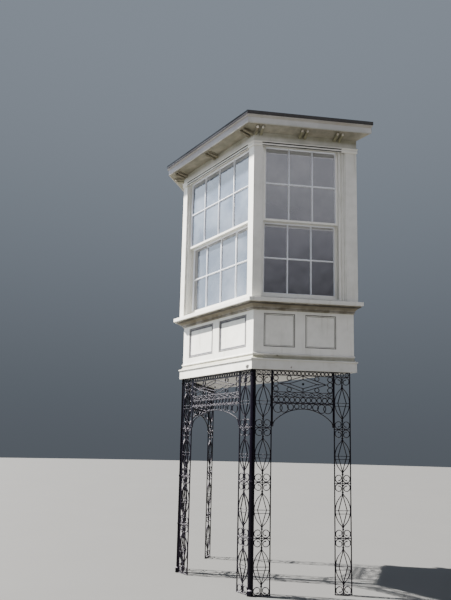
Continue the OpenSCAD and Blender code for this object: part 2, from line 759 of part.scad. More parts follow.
// Front panel of a corner post, filled out to the turned face of the corner bar
module iron_front_post() {
    slant = tan(splay / 2) * iron_t;
    on_front() translate([front_panel_1 - post_panel_w, iron_set, 0]) {
        post_panel();
        translate([post_panel_w, 0, 0]) linear_extrude(porch_h) polygon([
            [-upright_w / 2, -iron_t / 2], [bar_gap + slant, -iron_t / 2], [bar_gap, iron_t / 2],
            [-upright_w / 2, iron_t / 2]]);
    }
}
module iron_front_post_right() { color(iron_black) iron_front_post(); }
module iron_front_post_left() { color(iron_black) mirror([1, 0, 0]) iron_front_post(); }

// Side panel of a corner post, in one piece with the corner bar
module iron_side_post() {
    on_right() translate([side_panel_0, iron_set, 0]) post_panel(bar_reach);
    corner_bar();
}
module iron_side_post_right() { color(iron_black) iron_side_post(); }
module iron_side_post_left() { color(iron_black) mirror([1, 0, 0]) iron_side_post(); }

module iron_wall_post() { translate([iron_end - post_panel_w, iron_set, 0]) post_panel(); }
module iron_wall_post_right() { color(iron_black) on_right() iron_wall_post(); }
module iron_wall_post_left() { color(iron_black) on_left() iron_wall_post(); }

module on_side_arch() { translate([side_panel_0 + post_panel_w + side_arch_w / 2, iron_set, 0]) children(); }
module front_frieze() { color(iron_black) on_front() translate([0, iron_set, 0]) frieze_panel(front_arch_w); }
module right_frieze() { color(iron_black) on_right() on_side_arch() frieze_panel(side_arch_w); }
module left_frieze() { color(iron_black) on_left() on_side_arch() frieze_panel(side_arch_w); }
module front_arch() {
    color(iron_black) on_front() translate([0, iron_set, 0]) arch_panel(front_arch_w, front_arch_power);
}
module right_arch() { color(iron_black) on_right() on_side_arch() arch_panel(side_arch_w, side_arch_power); }
module left_arch() { color(iron_black) on_left() on_side_arch() arch_panel(side_arch_w, side_arch_power); }

at_origin() porch_ceiling();
at_origin() floor_joists();
at_origin() floor_deck();
at_origin() plinth_board();
at_origin() base_mould();
at_origin() apron_front();
at_origin() apron_left();
at_origin() apron_right();
at_origin() apron_panels();
at_origin() apron_wall();
at_origin() bed_mould();
at_origin() window_sill();
at_origin() corner_post_left();
at_origin() corner_post_right();
at_origin() wall_pilaster_left();
at_origin() wall_pilaster_right();
at_origin() front_window_frame();
at_origin() left_window_frame();
at_origin() right_window_frame();
at_origin() front_upper_sash();
at_origin() front_lower_sash();
at_origin() left_upper_sash();
at_origin() left_lower_sash();
at_origin() right_upper_sash();
at_origin() right_lower_sash();
at_origin() window_glass();
at_origin() frieze();
at_origin() head_mould();
at_origin() soffit();
at_origin() cornice_brackets();
at_origin() crown_moulding();
at_origin() ceiling();
at_origin() lead_roof();
at_origin() iron_front_post_left();
at_origin() iron_front_post_right();
at_origin() iron_side_post_left();
at_origin() iron_side_post_right();
at_origin() iron_wall_post_left();
at_origin() iron_wall_post_right();
at_origin() front_frieze();
at_origin() left_frieze();
at_origin() right_frieze();
at_origin() front_arch();
at_origin() left_arch();
at_origin() right_arch();
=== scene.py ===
import json
import math

import bpy
from mathutils import Matrix, Vector

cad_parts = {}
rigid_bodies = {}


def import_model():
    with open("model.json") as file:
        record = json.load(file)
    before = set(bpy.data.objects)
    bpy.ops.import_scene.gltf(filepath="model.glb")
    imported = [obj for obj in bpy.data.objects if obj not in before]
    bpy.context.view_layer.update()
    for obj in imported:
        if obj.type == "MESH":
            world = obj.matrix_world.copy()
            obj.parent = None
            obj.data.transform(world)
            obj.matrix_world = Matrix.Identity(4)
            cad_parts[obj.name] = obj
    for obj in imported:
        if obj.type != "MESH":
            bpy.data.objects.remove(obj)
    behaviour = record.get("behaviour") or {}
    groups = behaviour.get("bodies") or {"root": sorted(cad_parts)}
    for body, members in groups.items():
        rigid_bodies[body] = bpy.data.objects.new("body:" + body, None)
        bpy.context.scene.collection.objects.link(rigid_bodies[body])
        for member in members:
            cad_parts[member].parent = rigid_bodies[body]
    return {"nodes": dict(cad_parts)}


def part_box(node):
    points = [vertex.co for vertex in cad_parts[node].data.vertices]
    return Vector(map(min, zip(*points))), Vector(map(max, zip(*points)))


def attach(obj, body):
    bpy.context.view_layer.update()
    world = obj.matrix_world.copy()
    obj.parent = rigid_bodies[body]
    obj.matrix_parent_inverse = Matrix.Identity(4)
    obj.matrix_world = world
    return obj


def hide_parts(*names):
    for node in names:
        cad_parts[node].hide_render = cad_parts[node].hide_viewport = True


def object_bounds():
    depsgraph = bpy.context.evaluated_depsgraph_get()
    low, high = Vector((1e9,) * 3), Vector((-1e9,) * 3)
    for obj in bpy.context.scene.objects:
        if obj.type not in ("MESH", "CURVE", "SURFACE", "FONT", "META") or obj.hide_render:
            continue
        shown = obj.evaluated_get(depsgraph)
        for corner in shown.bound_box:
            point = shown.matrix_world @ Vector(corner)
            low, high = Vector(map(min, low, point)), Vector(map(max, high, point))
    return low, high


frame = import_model()
cad_low, cad_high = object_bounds()

# Plan of the bay, in metres: the sizes of the part's source
SPLAY = math.radians(58.5)
MITRE = math.tan(SPLAY / 2)
FRONT_HALF = 0.705
SIDE_LEN = 1.215
BAY_DEPTH = SIDE_LEN * math.sin(SPLAY)
WALL_Y = cad_high.y
POST_FRONT, POST_SIDE = 0.084, 0.102
PILASTER, CASING = 0.135, 0.058
SIDE_JAMB = SIDE_LEN - PILASTER - CASING
FRAME_FRONT, FRAME_SIDE = 0.012, 0.012
SASH_SET, SASH_T, PARTING = 0.044, 0.042, 0.012
SASH_STILE, SASH_TOP_RAIL, SASH_LOW_RAIL, GLASS_T = 0.034, 0.030, 0.060, 0.004
APRON_SET, APRON_STILE, APRON_WALL_STILE = 0.056, 0.118, 0.205
PANEL_LOW, PANEL_TOP, PANEL_SET, BEAD_W = 0.071, 0.032, 0.010, 0.014
BRACKET_LEN, BRACKET_W, BRACKET_PAIR, BRACKET_GAP = 0.140, 0.030, 0.060, 0.002
IRON_SET, IRON_T, BAR_W, UPRIGHT_W = 0.064, 0.012, 0.008, 0.012
POST_W, CORNER_BAR, LAP = 0.192, 0.030, 0.0025
COLLAR_H, COLLAR_OUT, FOOT_H, FOOT_OUT = 0.022, 0.004, 0.055, 0.010
BAR_ROUND, BOSS, SMALL_BOSS, TINY_BOSS = 0.0016, 0.0085, 0.0075, 0.006
BOSS_OUT = IRON_T / 2 + 0.0015
GLAZING_BAR_W, LIFT_HALF, FASTENER_HALF = 0.019, 0.030, 0.030

# Heights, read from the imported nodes
PORCH_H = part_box("porch_ceiling")[0].z
APRON_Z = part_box("apron_front")[0].z
SASH_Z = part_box("front_lower_sash")[0].z
SASH_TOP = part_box("front_upper_sash")[1].z
SOFFIT_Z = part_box("soffit")[0].z
MEETING_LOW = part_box("front_upper_sash")[0].z
MEETING_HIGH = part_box("front_lower_sash")[1].z

# Ironwork: where its panels stand along each face
TOP_BAND, LOZENGE_BAND, SMALL_BAND, RING_BAND = 0.054, 0.185, 0.052, 0.064
MODULES = 4
MODULE_H = (PORCH_H - TOP_BAND) / MODULES
IRON_CORNER = IRON_SET * MITRE
BAR_REACH = CORNER_BAR / 2 / math.cos(SPLAY / 2) + MITRE * IRON_T / 2 + 0.002
SIDE_PANEL = IRON_CORNER + BAR_REACH
IRON_END = SIDE_LEN - IRON_SET / math.tan(SPLAY) - 0.040
SIDE_ARCH_W = IRON_END - POST_W - SIDE_PANEL - POST_W
FRONT_PANEL = FRONT_HALF - IRON_CORNER - BAR_REACH
FRONT_ARCH_W = 2 * (FRONT_PANEL - POST_W)
RAILS = [PORCH_H - BAR_W / 2, PORCH_H - TOP_BAND, PORCH_H - TOP_BAND - LOZENGE_BAND,
         PORCH_H - TOP_BAND - LOZENGE_BAND - SMALL_BAND,
         PORCH_H - TOP_BAND - LOZENGE_BAND - SMALL_BAND - RING_BAND]
FRIEZE_LOW = RAILS[4] - BAR_W / 2
ARCH_TOP = FRIEZE_LOW - 0.062
ARCH_RISE = 0.184
SPRING = ARCH_TOP - ARCH_RISE

# A face's own frame has x along the face, y inwards from its outer plane, and z up
ON_FRONT = Matrix.Translation((0, WALL_Y - BAY_DEPTH, 0))
ON_RIGHT = Matrix.Translation((FRONT_HALF, WALL_Y - BAY_DEPTH, 0)) @ Matrix.Rotation(SPLAY, 4, "Z")
MIRRORED = Matrix.Diagonal((-1, 1, 1, 1))
ON_LEFT = MIRRORED @ ON_RIGHT
FACES = {"front": ON_FRONT, "right": ON_RIGHT, "left": ON_LEFT}


# Camera and lights

def set_camera():
    yaw, pitch, roll = math.radians(51.354), math.radians(7.949), math.radians(1.230)
    ahead = Vector((-math.sin(yaw) * math.cos(pitch), math.cos(yaw) * math.cos(pitch), math.sin(pitch)))
    level = Vector((math.cos(yaw), math.sin(yaw), 0))
    above = level.cross(ahead)
    right = math.cos(roll) * level + math.sin(roll) * above
    up = math.cos(roll) * above - math.sin(roll) * level
    data = bpy.data.cameras.new("camera")
    data.lens = 32.98
    data.sensor_width = 36
    data.shift_y = 0.120
    data.clip_end = 200
    camera = bpy.data.objects.new("camera", data)
    bpy.context.scene.collection.objects.link(camera)
    place = Matrix((right, up, -ahead)).transposed().to_4x4()
    place.translation = Vector((5.119, -4.291, 1.502))
    camera.matrix_world = place
    bpy.context.scene.camera = camera


def set_sun():
    data = bpy.data.lights.new("sun_key", "SUN")
    data.energy = 26.0
    data.color = (1.0, 0.965, 0.91)
    data.angle = math.radians(0.9)
    sun = bpy.data.objects.new("sun_key", data)
    bpy.context.scene.collection.objects.link(sun)
    sun.location = (-5.6, -4.9, 7.35)
    sun.rotation_euler = (-sun.location).to_track_quat("-Z", "Y").to_euler()


def set_sky():
    """A soft sky, with two glows that light and mirror in the glass but aren't seen directly."""
    world = bpy.data.worlds.new("studio")
    bpy.context.scene.world = world
    world.use_nodes = True
    sky = Graph(world.node_tree, "Generated")
    height = sky.axis(2)
    light = sky.fade(height, -0.1, 0.75) * 0.20 + 0.12
    unseen = 1 - sky.node("ShaderNodeLightPath", {}, output=0)
    light = light + sky.glow((-5.12, -3.94, 2.7), 30, 10) * unseen * 3.9
    light = light + sky.glow((5.63, -1.81, 4.3), 25, 0) * unseen * 2.0
    background = world.node_tree.nodes["Background"]
    tint = sky.mix(sky.glow((5.63, -1.81, 3.4), 42, 15) * unseen, (0.74, 0.85, 1.0, 1), (0.86, 0.87, 1.0, 1))
    sky.link(tint, background.inputs["Color"])
    sky.link(light, background.inputs["Strength"])


# Shader maths

class Value:
    """A socket that can be used in sums, which add the Math nodes."""

    def __init__(self, paint, socket):
        self.paint = paint
        self.socket = socket

    def math(self, operation, *others):
        return self.paint.node("ShaderNodeMath", {"operation": operation}, *others)

    def __add__(self, other):
        return self.math("ADD", self, other)

    def __sub__(self, other):
        return self.math("SUBTRACT", self, other)

    def __mul__(self, other):
        return self.math("MULTIPLY", self, other)

    def __rsub__(self, other):
        return self.math("SUBTRACT", other, self)

    def __abs__(self):
        return self.math("ABSOLUTE", self)

    def or_more(self, other):
        """The greater of the two."""
        return self.math("MAXIMUM", self, other)

    __radd__ = __add__
    __rmul__ = __mul__


class Graph:
    """Procedural nodes on one kind of coordinates."""

    def __init__(self, tree, coordinates):
        self.tree = tree
        self.place = Value(self, tree.nodes.new("ShaderNodeTexCoord").outputs[coordinates])

    def link(self, value, socket):
        if isinstance(value, Value):
            self.tree.links.new(value.socket, socket)
        else:
            socket.default_value = value

    def node(self, kind, settings, *values, output=0, **named):
        made = self.tree.nodes.new(kind)
        for key, setting in settings.items():
            setattr(made, key, setting)
        for place, value in enumerate(values):
            self.link(value, made.inputs[place])
        for key, value in named.items():
            self.link(value, made.inputs[key.replace("_", " ")])
        return Value(self, made.outputs[output])

    def noise(self, scale, detail=4.0, stretch=(1, 1, 1), roughness=0.55, shift=0.0):
        place = self.node("ShaderNodeMapping", {}, Vector=self.place, Scale=stretch,
                          Location=(shift, 0, shift))
        return self.node("ShaderNodeTexNoise", {}, Vector=place, Scale=scale, Detail=detail,
                         Roughness=roughness)

    def fade(self, value, low, high):
        """0 at low and 1 at high, smoothly between them."""
        return self.node("ShaderNodeMapRange", {"interpolation_type": "SMOOTHSTEP"},
                         value, low, high, 0.0, 1.0)

    def mix(self, mask, first, second):
        made = self.tree.nodes.new("ShaderNodeMix")
        made.data_type = "RGBA"
        self.link(mask, made.inputs[0])
        self.link(first, made.inputs[6])
        self.link(second, made.inputs[7])
        return Value(self, made.outputs[2])

    def axis(self, number):
        return self.node("ShaderNodeSeparateXYZ", {}, self.place, output=number)

    def distance(self, place, point):
        return self.node("ShaderNodeVectorMath", {"operation": "DISTANCE"}, place, point, output=1)

    def glow(self, towards, edge, core):
        """1 within core degrees of a direction, and 0 from edge degrees on."""
        near = self.node("ShaderNodeVectorMath", {"operation": "DOT_PRODUCT"}, self.place,
                         Vector(towards).normalized(), output=1)
        return self.fade(near, math.cos(math.radians(edge)), math.cos(math.radians(core)))

    def facing(self, number):
        """The part of the surface's normal along x, y or z."""
        normal = Value(self, self.tree.nodes.new("ShaderNodeNewGeometry").outputs["Normal"])
        return self.node("ShaderNodeSeparateXYZ", {}, normal, output=number)


class Paint(Graph):
    """A material that is built up from procedural nodes on Object coordinates."""

    def __init__(self, name, **sockets):
        self.material = bpy.data.materials.new(name)
        self.material.use_nodes = True
        super().__init__(self.material.node_tree, "Object")
        self.shader = self.tree.nodes["Principled BSDF"]
        for socket, value in sockets.items():
            self.shader.inputs[socket.replace("_", " ")].default_value = value

    def on_front(self):
        """1 on surfaces that face the front, and 0 on those of the splayed sides."""
        return self.fade(self.facing(1) * -1, 0.70, 0.95)

    def on_sides(self):
        """1 on surfaces that face the splayed sides, and 0 on those of the front."""
        return self.fade(abs(self.facing(0)), 0.3, 0.8)

    def between_posts(self):
        """1 along the sash openings, and 0 at the corner posts and the pilasters."""
        plan = self.node("ShaderNodeCombineXYZ", {}, abs(self.axis(0)), self.axis(1), 0.0)
        away = self.distance(plan, (FRONT_HALF, WALL_Y - BAY_DEPTH, 0))
        end = WALL_Y - (PILASTER + CASING) * math.sin(SPLAY)
        return self.fade(away, 0.092, 0.098) * self.fade(self.axis(1), end + 0.004, end)

    def finish(self, colour, roughness, height=None, depth=0.002, edge=0.0, **extra):
        self.link(colour, self.shader.inputs["Base Color"])
        self.link(roughness, self.shader.inputs["Roughness"])
        for socket, value in extra.items():
            self.link(value, self.shader.inputs[socket.replace("_", " ")])
        normal = None
        if edge:
            normal = self.node("ShaderNodeBevel", {"samples": 4}, Radius=edge)
        if height is not None:
            bump = {"Height": height, "Distance": depth, "Strength": 1.0}
            if normal is not None:
                bump["Normal"] = normal
            normal = self.node("ShaderNodeBump", {}, **bump)
        if normal is not None:
            self.link(normal, self.shader.inputs["Normal"])
        return self.material


WHITE_PAINT = (0.80, 0.79, 0.74, 1)
SHADED_PAINT = (0.68, 0.68, 0.63, 1)
# Tan and olive grime: real dirt, and also the colour of painted shade on paint facing down and in some bands
TAN_GRIME_AND_SHADE = (0.30, 0.26, 0.16, 1)
OLIVE_GRIME_AND_SHADE = (0.20, 0.19, 0.115, 1)
BARE_WOOD = (0.13, 0.105, 0.08, 1)
# Black: real dirt where chips have lost their paint, and painted shadow lines on the head and bed mouldings
BLACK_DIRT_AND_SHADOW = (0.020, 0.018, 0.016, 1)
# Olive: painted shade on the front soffit
OLIVE_SHADE = (0.115, 0.105, 0.065, 1)
# Brown: dirt on the soffit, and painted shade on the soffit, the bed mould and the front brackets
BROWN_DIRT_AND_SHADE = (0.105, 0.085, 0.055, 1)
COOL_WHITE = (0.80, 0.83, 0.90, 1)
# Painted shade on the front panel beads
BEAD_SHADE = (0.17, 0.17, 0.18, 1)
# Grey: painted shade on the splayed sides, the frieze and the crown
GREY_SHADE = (0.42, 0.42, 0.40, 1)
PINK_GRIME = (0.30, 0.25, 0.19, 1)
# Mauve grey: painted shade on the front of the crown and on the foot of the lead's front edge
MAUVE_SHADE = (0.215, 0.190, 0.190, 1)


def weathered_paint(name, grime_and_shade, streaks, peeling, edge=0.003, bands=(), chips=(), shade=0.0, front_shade=0.0,
                    posts=True):
    """Old off-white oil paint: grime lies in patches and streaks, paint facing down is darkened as painted
    shade, and small flakes show wood. A band (axis, low, high, softness, colour, strength) darkens the
    paint between two places on an axis as grime and painted shade, and with posts off only along the
    sashes. A chip (x, y, z, radius) has lost its paint. Shade greys the splayed sides, and front shade
    greys the front, both as painted shade."""
    paint = Paint(name, IOR=1.45)
    broad = paint.noise(1.7, 5.0)
    fine = paint.noise(9.0, 6.0, shift=3.1)
    runs = paint.noise(3.2, 5.0, stretch=(9, 9, 0.55), shift=1.7)
    colour = paint.mix(paint.fade(broad + fine * 0.4, 0.52, 0.92) * 0.55, WHITE_PAINT, SHADED_PAINT)
    streak = paint.fade(runs, 0.60 - 0.12 * streaks, 0.86 - 0.10 * streaks) * (0.25 + 0.4 * streaks)
    colour = paint.mix(streak, colour, TAN_GRIME_AND_SHADE)
    # Painted shade: the splayed sides are greyed
    if shade:
        colour = paint.mix(paint.on_sides() * shade, colour, GREY_SHADE)
    # Painted shade: paint facing down is darkened towards the grime colours, on top of real grime in patches
    under = paint.fade(paint.facing(2) * -1, 0.25, 0.95)
    patches = paint.fade(broad * 0.6 + fine * 0.55, 0.48, 0.74)
    soiled_and_shaded = (under * (0.30 + 0.55 * grime_and_shade)).or_more(patches * grime_and_shade)
    colour = paint.mix(soiled_and_shaded * (0.55 + 0.45 * grime_and_shade), colour,
                       paint.mix(paint.fade(fine, 0.40, 0.60), TAN_GRIME_AND_SHADE, OLIVE_GRIME_AND_SHADE))
    for number, low, high, soft, dirt_and_shade, strength in bands:
        level = paint.axis(number)
        inside = paint.fade(level, low, low + soft) * paint.fade(level, high + soft, high)
        if not posts:
            inside = inside * paint.between_posts()
        colour = paint.mix(inside * (fine * 0.5 + broad * 0.6 + (strength - 0.52)), colour, dirt_and_shade)
    # Painted shade: the front is greyed
    if front_shade:
        colour = paint.mix(paint.on_front() * front_shade, colour, MAUVE_SHADE)
    flakes = paint.noise(26.0, 3.0, shift=5.3, roughness=0.7)
    zones = paint.noise(2.4, 3.0, shift=8.2)
    bare = paint.fade(flakes * 0.6 + zones * 0.7, 0.93 - 0.16 * peeling, 0.95 - 0.16 * peeling)
    colour = paint.mix(bare, colour, BARE_WOOD)
    for x, y, z, radius in chips:
        away = paint.distance(paint.place, (x, y, z))
        lost = paint.fade(away + flakes * radius * 1.6, radius * 2.1, radius * 1.8)
        colour = paint.mix(lost, colour, BLACK_DIRT_AND_SHADOW)
        bare = bare.or_more(lost)
    brush = paint.noise(60.0, 2.0, stretch=(1, 1, 0.12), shift=2.2)
    height = brush * 0.10 + fine * 0.20 - bare * 0.55
    roughness = 0.36 + soiled_and_shaded * 0.32 + bare * 0.25 + fine * 0.10
    return paint.finish(colour, roughness, height, depth=0.0012, edge=edge)


def groove_shade(name, dark, pale):
    """Dark patchy strips in the quirks round the panels, as painted shade."""
    paint = Paint(name)
    patches = paint.noise(14.0, 4.0)
    colour = paint.mix(paint.fade(patches, 0.35, 0.7), dark, pale)
    return paint.finish(colour, 0.7 + patches * 0.2, patches, depth=0.0004)


def black_iron():
    """Black gloss paint on cast bars, with a violet tint as painted sheen, pale dust on faces that slope
    up which also stands as painted highlight glints, and a little rust where it has lifted.
    """
    paint = Paint("black_gloss_iron", Specular_IOR_Level=0.13)
    coarse = paint.noise(7.0, 5.0)
    pits = paint.noise(120.0, 3.0, shift=4.0)
    rust = paint.fade(coarse * 0.6 + pits * 0.5, 0.70, 0.80)
    upward = paint.facing(2)
    # Pale dust on faces that slope up, which also stands as painted highlight glints
    slanted = paint.fade(upward, 0.35, 0.60) * paint.fade(upward, 1.0, 0.80)
    dust_and_glint = slanted * paint.fade(pits, 0.40, 0.60) * 0.65
    # The violet tint of the black is a painted sheen
    colour = paint.mix(coarse, (0.0016, 0.0010, 0.0030, 1), (0.0045, 0.0028, 0.0075, 1))
    colour = paint.mix(rust * 0.75, colour, (0.085, 0.036, 0.018, 1))
    colour = paint.mix(dust_and_glint, colour, (0.40, 0.38, 0.42, 1))
    roughness = 0.20 + rust * 0.45 + pits * 0.10 + dust_and_glint * 0.5
    return paint.finish(colour, roughness, pits * 0.6 + coarse, depth=0.0008, edge=0.0012)


def sheet_lead():
    """Dull dark lead with pale bloom and darker runs. The foot of its front edge takes the mauve grey of
    the fascia below it, which is painted shade."""
    paint = Paint("roof_lead", Specular_IOR_Level=0.2)
    bloom = paint.fade(paint.noise(3.0, 6.0), 0.46, 0.72)
    runs = paint.fade(paint.noise(2.5, 4.0, stretch=(6, 6, 0.8), shift=2.0), 0.5, 0.8)
    fine = paint.noise(45.0, 3.0)
    colour = paint.mix(bloom * 0.55, (0.040, 0.043, 0.047, 1), (0.16, 0.17, 0.17, 1))
    colour = paint.mix(runs * 0.5, colour, (0.030, 0.030, 0.028, 1))
    upright = paint.fade(paint.facing(2), 0.75, 0.45)
    front = paint.on_front()
    edge = paint.mix(fine, (0.018, 0.018, 0.018, 1), (0.075, 0.070, 0.066, 1))
    edge = paint.mix(front, edge, (0.010, 0.010, 0.011, 1))
    colour = paint.mix(upright * 0.90, colour, edge)
    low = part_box("lead_roof")[0].z
    # Painted shade: the foot of the front edge takes the fascia's mauve grey
    drip = front * upright * paint.fade(paint.axis(2), low + 0.014, low + 0.011)
    colour = paint.mix(drip, colour, MAUVE_SHADE)
    return paint.finish(colour, 0.50 + bloom * 0.2, fine * 0.4 + bloom * 0.6, depth=0.0015, edge=0.006)


def window_pane():
    """Old drawn glass, slightly wavy, with a patchy film. Its colour is painted: dark low down as painted
    shade of the room behind, pale bluish higher up and on the front as painted sky reflection, and
    paler strips as painted light where the frame's shade and reflection darken it.
    """
    paint = Paint("old_drawn_glass", IOR=1.52, Specular_IOR_Level=0.75, Coat_Weight=0.6, Coat_Roughness=0.02)
    wave = paint.noise(5.5, 1.5, stretch=(1, 1, 0.6))
    film = paint.fade(paint.noise(2.2, 5.0, shift=6.0), 0.35, 0.75)
    # Painted shade: dark low down, for the shaded room behind
    low = paint.mix(film, (0.008, 0.008, 0.011, 1), (0.020, 0.019, 0.023, 1))
    # Painted reflection: pale bluish higher up, for the sky mirrored in the glass
    high = paint.mix(film, (0.062, 0.084, 0.126, 1), (0.175, 0.205, 0.255, 1))
    # On the splayed sides the upper panes take a grey instead, painted for the room behind
    room = paint.mix(film, (0.078, 0.080, 0.075, 1), (0.150, 0.150, 0.140, 1))
    high = paint.mix(paint.on_sides(), high, room)
    level = paint.axis(2)
    # The front panes take more of the pale colour, as painted light
    upper = paint.fade(level, MEETING_LOW - 0.25, MEETING_LOW + 0.35).or_more(paint.on_front() * 0.62)
    colour = paint.mix(upper, low, high)
    lower = paint.fade(level, MEETING_LOW + 0.010, MEETING_LOW)
    strip_x = -0.500
    beside = paint.fade(paint.axis(0), strip_x + 0.010, strip_x - 0.010) * lower * paint.on_front()
    under_rail = paint.fade(level, MEETING_LOW - 0.050, MEETING_LOW - 0.034) * lower
    under_head = paint.fade(level, SASH_TOP - 0.108, SASH_TOP - 0.078)
    # Painted light: paler strips under the head, under the meeting rail and beside the lower front sash,
    # where the frame's shade and reflection darken the glass
    pale = under_head.or_more(under_rail).or_more(beside)
    colour = paint.mix(pale * 0.75, colour, (0.46, 0.46, 0.46, 1))
    return paint.finish(colour, 0.03 + film * 0.05, wave, depth=0.006, Alpha=0.90 + film * 0.07)


def bare_boards():
    """Oiled softwood with grain along y."""
    paint = Paint("oiled_boards")
    grain = paint.noise(14.0, 6.0, stretch=(6, 0.35, 6))
    tone = paint.noise(1.2, 3.0)
    seams = board_seams(paint, 0.125)
    colour = paint.mix(paint.fade(grain * 0.7 + tone * 0.3, 0.35, 0.65), (0.20, 0.115, 0.055, 1),
                       (0.36, 0.24, 0.13, 1))
    colour = paint.mix(seams, colour, (0.03, 0.02, 0.012, 1))
    return paint.finish(colour, 0.48 + grain * 0.2, grain * 0.3 - seams, depth=0.002, edge=0.002)


def board_seams(paint, width):
    """Narrow joints between boards that run along y."""
    across = paint.axis(0) * (1 / width) + 100.5
    off = abs(across.math("FRACT", across) - 0.5)
    return paint.fade(off, 0.485, 0.496)


def ceiling_paint(name, seams_on):
    """Matt white distemper, on boards or on plain plaster."""
    paint = Paint(name)
    tone = paint.noise(2.0, 5.0)
    fine = paint.noise(30.0, 3.0)
    colour = paint.mix(tone, (0.62, 0.60, 0.55, 1), (0.74, 0.73, 0.69, 1))
    height = fine * 0.3
    if seams_on:
        seams = board_seams(paint, 0.105)
        colour = paint.mix(seams, colour, (0.10, 0.09, 0.075, 1))
        height = height - seams
    return paint.finish(colour, 0.75 + fine * 0.1, height, depth=0.0015)


# Modelling helpers

def deselect():
    bpy.ops.object.select_all(action="DESELECT")


def take(piece):
    """Makes the piece the only one selected, and the active one."""
    deselect()
    piece.select_set(True)
    bpy.context.view_layer.objects.active = piece


def clear_picks(piece, mode):
    """Deselects the piece's points, edges and faces, and leaves it in object mode."""
    take(piece)
    bpy.ops.object.mode_set(mode="EDIT")
    bpy.ops.mesh.select_mode(type=mode)
    bpy.ops.mesh.select_all(action="DESELECT")
    bpy.ops.object.mode_set(mode="OBJECT")


def pick_faces(piece, test):
    """Leaves the piece in edit mode with the faces whose middle and normal pass the test selected."""
    clear_picks(piece, "FACE")
    for face in piece.data.polygons:
        face.select = test(face.center, face.normal)
    bpy.ops.object.mode_set(mode="EDIT")


def pick_edges(piece, test):
    """Leaves the piece in edit mode with the edges whose two ends pass the test selected."""
    clear_picks(piece, "EDGE")
    points = piece.data.vertices
    for edge in piece.data.edges:
        edge.select = test(points[edge.vertices[0]].co, points[edge.vertices[1]].co)
    bpy.ops.object.mode_set(mode="EDIT")


def pick_all(piece):
    """Leaves the piece in edit mode with all of it selected."""
    clear_picks(piece, "FACE")
    bpy.ops.object.mode_set(mode="EDIT")
    bpy.ops.mesh.select_all(action="SELECT")


def leave():
    bpy.ops.object.mode_set(mode="OBJECT")


def extrude(x, y, z):
    bpy.ops.mesh.extrude_region_move(TRANSFORM_OT_translate={"value": (x, y, z)})


def apply_place(piece):
    take(piece)
    bpy.ops.object.transform_apply(location=True, rotation=True, scale=True)


def close_up(piece):
    """Merges doubles and turns every face outwards."""
    pick_all(piece)
    bpy.ops.mesh.remove_doubles(threshold=0.00002)
    bpy.ops.mesh.normals_make_consistent(inside=False)
    leave()


def block(low, high):
    """A box between two corners."""
    low, high = Vector(low), Vector(high)
    deselect()
    bpy.ops.mesh.primitive_cube_add(size=1, location=(low + high) / 2)
    piece = bpy.context.object
    piece.scale = high - low
    apply_place(piece)
    return piece


def soften(piece, width, segments=2, angle=30):
    """Rounds the piece's sharp edges."""
    take(piece)
    bpy.ops.object.modifier_add(type="BEVEL")
    bevel = piece.modifiers[-1]
    bevel.width = width
    bevel.segments = segments
    bevel.limit_method = "ANGLE"
    bevel.angle_limit = math.radians(angle)
    bpy.ops.object.modifier_apply(modifier=bevel.name)
    bpy.ops.object.shade_smooth_by_angle(angle=math.radians(35))
    return piece


def soft_block(low, high, width, segments=2):
    """A box between two corners, with rounded edges."""
    return soften(block(low, high), width, segments)


def ring_of(piece, axis, thickness, back_thickness=None):
    """Opens a flat-ended solid into a ring, by insetting both ends and joining the insets."""
    for side, inset in ((-1, thickness), (1, back_thickness or thickness)):
        pick_faces(piece, lambda middle, normal: normal[axis] * side > 0.9)
        bpy.ops.mesh.inset(thickness=inset, use_individual=True)
        leave()
        for face in piece.data.polygons:
            face.select = face.select and face.normal[axis] * side > 0.9
        mark_selected(piece, "front_cap" if side < 0 else "back_cap")
    pick_marked(piece, ("front_cap", "back_cap"))
    bpy.ops.mesh.bridge_edge_loops()
    leave()
    close_up(piece)
    return piece


def mark_selected(piece, name):
    """Remembers the selected faces by their points."""
    points = {point for face in piece.data.polygons if face.select for point in face.vertices}
    group = piece.vertex_groups.new(name=name)
    group.add(sorted(points), 1.0, "REPLACE")


def pick_marked(piece, names):
    """Leaves the piece in edit mode with the remembered faces selected, and forgets their names."""
    marked = []
    for name in names:
        number = piece.vertex_groups[name].index
        marked.append({point.index for point in piece.data.vertices
                       if any(link.group == number for link in point.groups)})
    for name in names:
        piece.vertex_groups.remove(piece.vertex_groups[name])
    clear_picks(piece, "FACE")
    for face in piece.data.polygons:
        face.select = any(set(face.vertices) <= points for points in marked)
    bpy.ops.object.mode_set(mode="EDIT")


def copy_of(piece, place):
    """A copy with its own mesh, moved by a matrix; a mirrored one is turned right side out."""
    twin = piece.copy()
    twin.data = piece.data.copy()
    bpy.context.scene.collection.objects.link(twin)
    twin.matrix_world = place
    apply_place(twin)
    if place.determinant() < 0:
        close_up(twin)
    return twin


def shift(x=0, y=0, z=0):
    return Matrix.Translation((x, y, z))


def mirror_of(piece):
    return copy_of(piece, MIRRORED)


def joined(name, pieces):
    deselect()
    for piece in pieces:
        piece.select_set(True)
    bpy.context.view_layer.objects.active = pieces[0]
    if len(pieces) > 1:
        bpy.ops.object.join()
    whole = bpy.context.view_layer.objects.active
    whole.name = name
    whole.data.name = name
    return whole


def put(piece, name, face, material, replaced=()):
    """Sets a finished piece on a face of the bay and gives it its body and finish."""
    piece.matrix_world = FACES[face]
    apply_place(piece)
    if FACES[face].determinant() < 0:
        close_up(piece)
    piece.name = name
    piece.data.name = name
    piece.data.materials.clear()
    piece.data.materials.append(material)
    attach(piece, "root")
    if replaced:
        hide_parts(*replaced)


def discard(*pieces):
    for piece in pieces:
        bpy.data.objects.remove(piece, do_unlink=True)


# Flat iron bars

